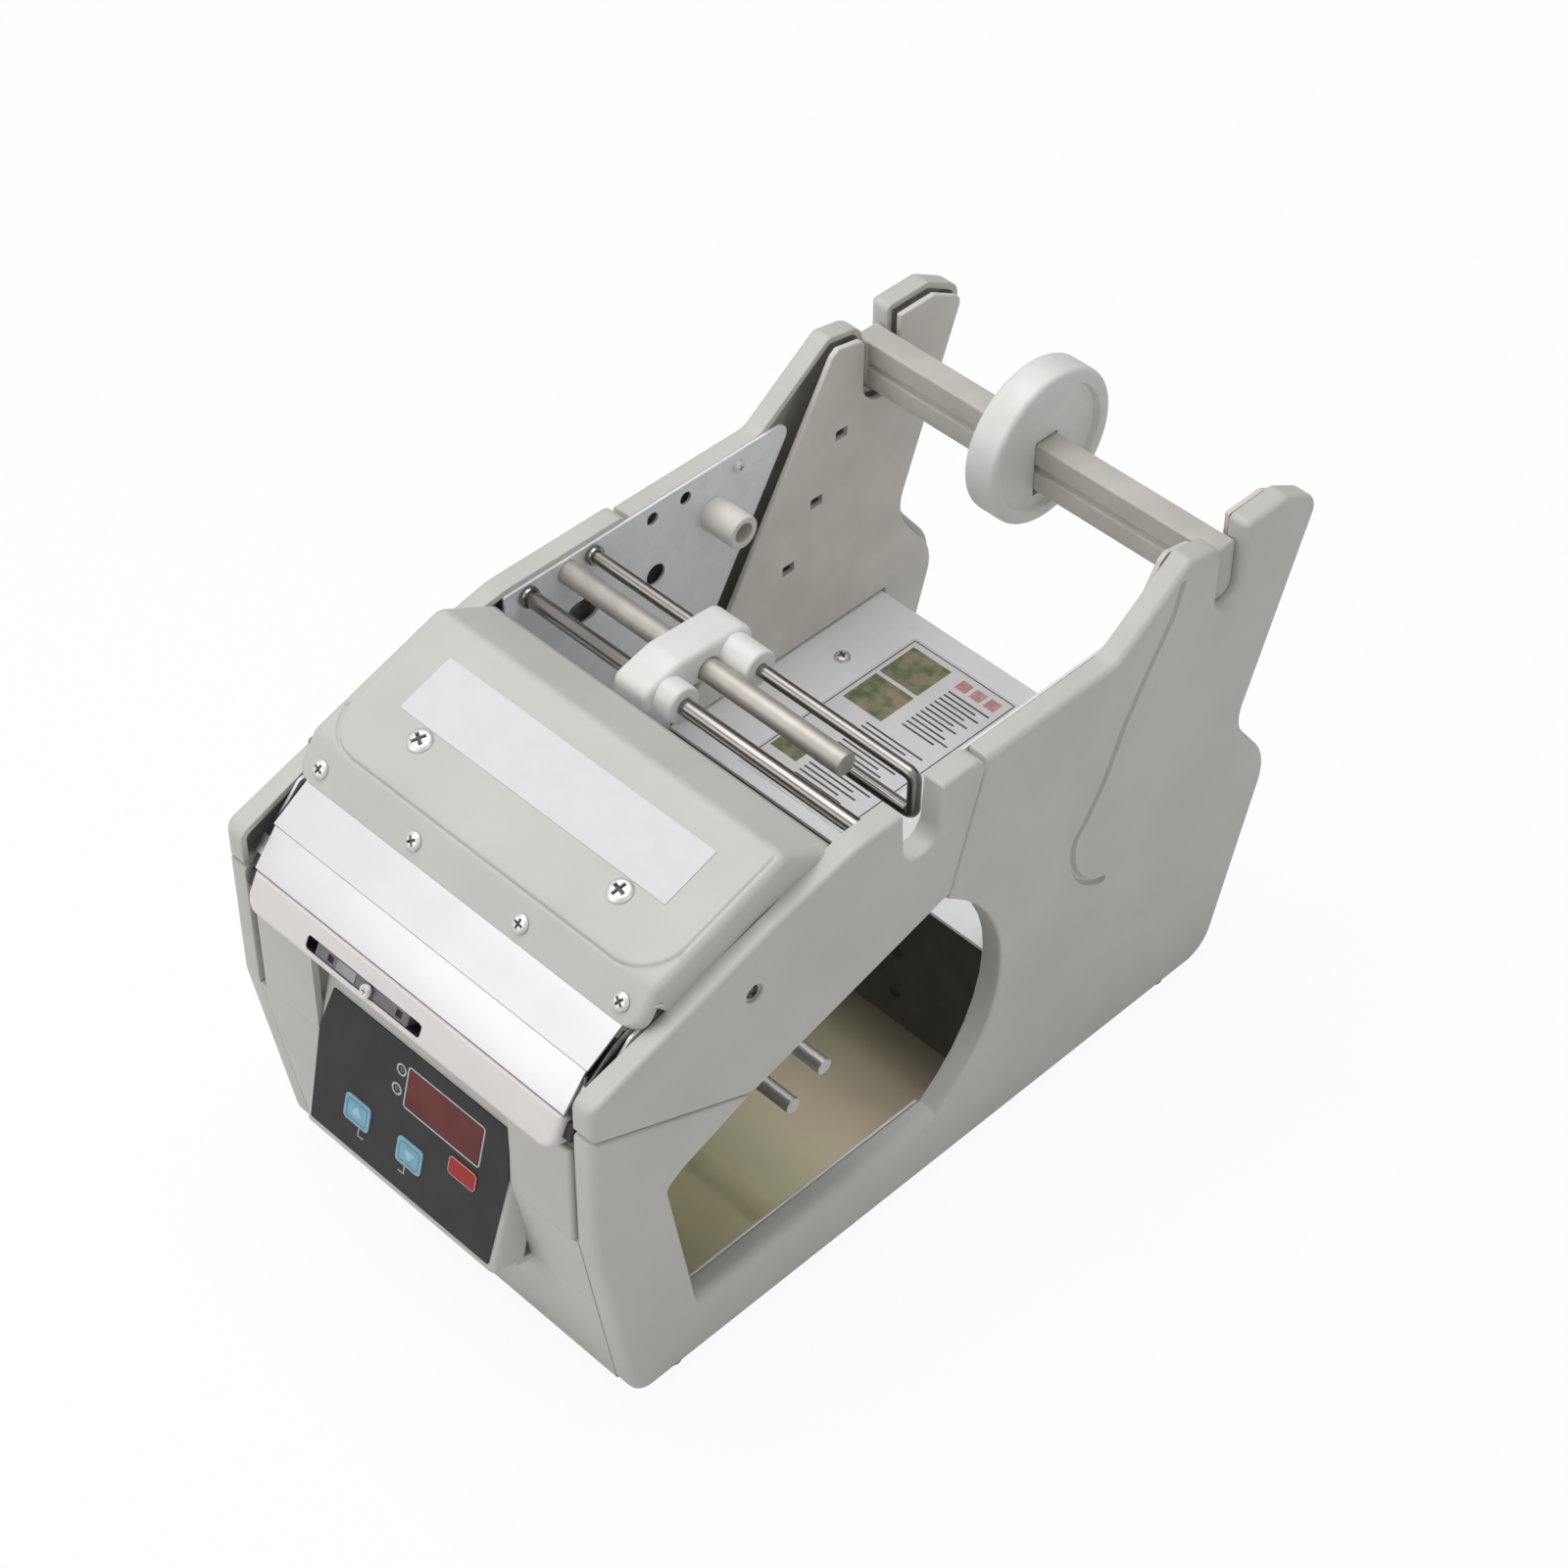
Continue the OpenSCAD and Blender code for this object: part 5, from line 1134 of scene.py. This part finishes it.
# %% Roll bar and disc
LOW, HIGH = 215.6, 219.6
BAR_SIDE = [(328.5, 204.3, 4), (340.5, 204.3, 4), (340.5, LOW, 0.3), (338.8, LOW + 0.4, 0.3),
    (338.8, HIGH - 0.4, 0.3), (340.5, HIGH, 0.3), (340.5, 229.3, 1), (328.5, 229.3, 1),
    (328.5, HIGH, 0.3), (330.2, HIGH - 0.4, 0.3), (330.2, LOW + 0.4, 0.3), (328.5, LOW, 0.3)]
END_SIDE = [(328, 203.4, 6.2), (341, 203.4, 6.2), (341, 229.5, 1.8), (328, 229.5, 1.8)]
bar = rimmed(BAR_SIDE, 89.0, -89.0, 0.3, 1.0, 8, inner=0.3)
tip = rimmed(END_SIDE, 95.0, 88.0, 1.3, 1.0, 12, inner=0.8)
piece("roll_bar_extrusion", [bar, tip, mirrored(tip)], "roll_bar", coated_aluminium, ["roll_shaft"])


def flat_holed_disc(centre, r, x0, x1):
    """A lathe-turned disc with a rectangular hole. Its rim is a quarter round of 2.4 mm, and the
    right face steps down 3 mm inside a ring: (x, radius) pairs, then two flat ends with holes."""
    steps = 120
    round_off = [(2.4 * (1 - sin(a)), r - 2.4 * (1 - cos(a))) for a in np.linspace(0, pi / 2, 7)]
    section = [(x0 + d, k) for d, k in round_off[::-1]] + [(x1 - d, k) for d, k in round_off]
    section += [(x1, r - 5.4), (x1 - 0.3, r - 6.1), (x1 - 2.7, r - 7.2), (x1 - 3, r - 8.0)]
    ring = circle((0, 0), 1, steps)
    rings = np.stack([np.column_stack([np.full(steps, x), centre + k * ring]) for x, k in section[::-1]])
    parts = [(rings.reshape(-1, 3), grid_faces(len(rings), steps))]
    hole = arcs(box_corners(328.1, 203.2, 340.9, 230.1, 0.6), 4)
    for x, k, way in ((x1 - 3, r - 8.0, 1), (x0, r - 2.4, -1)):
        v, _, tris = cap(centre + k * ring, (), [hole])
        parts.append((np.column_stack([np.full(len(v), x), v]), tris[:, ::way]))
    wall = rings_at([hole, hole], [x1 - 3, x0]).reshape(-1, 3)
    return parts + [(wall, [f[::-1] for f in grid_faces(2, len(hole))])]


disc = flat_holed_disc(np.array([334.5, 226.15]), 34.7, -8.7, 6.7)
piece("roll_disc_nylon", disc, "disc", white_nylon, ["roll_disc"])

# %% [markdown]
# ## Sticker
# The paper sticker on the rear box gets a plain design of its own: a frame, a rose heading bar,
# two green and brown picture fields and rows of dark bars in place of lines of print.

# %% Sticker
def field(x0, y0, x1, y1, kind):
    """A printed rectangle a hair above the paper."""
    return rimmed(box_corners(x0, y0, x1, y1, 0.1), 0.33, 0.25, 0.01, 1.0, 2, inner=0.01), kind


paper = rimmed(box_corners(-55, 222, 5.5, 328, 1.0), 0.3, 0.0, 0.05, 1.0, 4, inner=0.02)
fields = [field(-51, 302, -29, 323, 2), field(-51, 280, -29, 300, 2), field(-52, 238, -37, 256, 2)]
fields += [field(-22 + 8 * i, 317, -16 + 8 * i, 323, 3) for i in range(3)]
fields += [field(-22, 313 - row * 2.8, 1 - (row * 5) % 9, 314 - row * 2.8, 1) for row in range(11)]
fields += [field(-33, 275 - row * 2.8, -1 - (row * 7) % 11, 276 - row * 2.8, 1) for row in range(17)]
frame_line = ribbon(arcs(box_corners(-53.6, 223.4, 4.1, 326.6, 0.5), 3), 0.6, 0.2, 0.33)
sticker = [(paper, 0), (frame_line, 1), *fields]
piece("sticker_print", [leaning(q, (0, 90), 0) for q, _ in sticker], "machine",
    [label_paper, text_ink, leaf_ink, rose_ink], ["instruction_sticker"],
    numbers=[kind for _, kind in sticker])
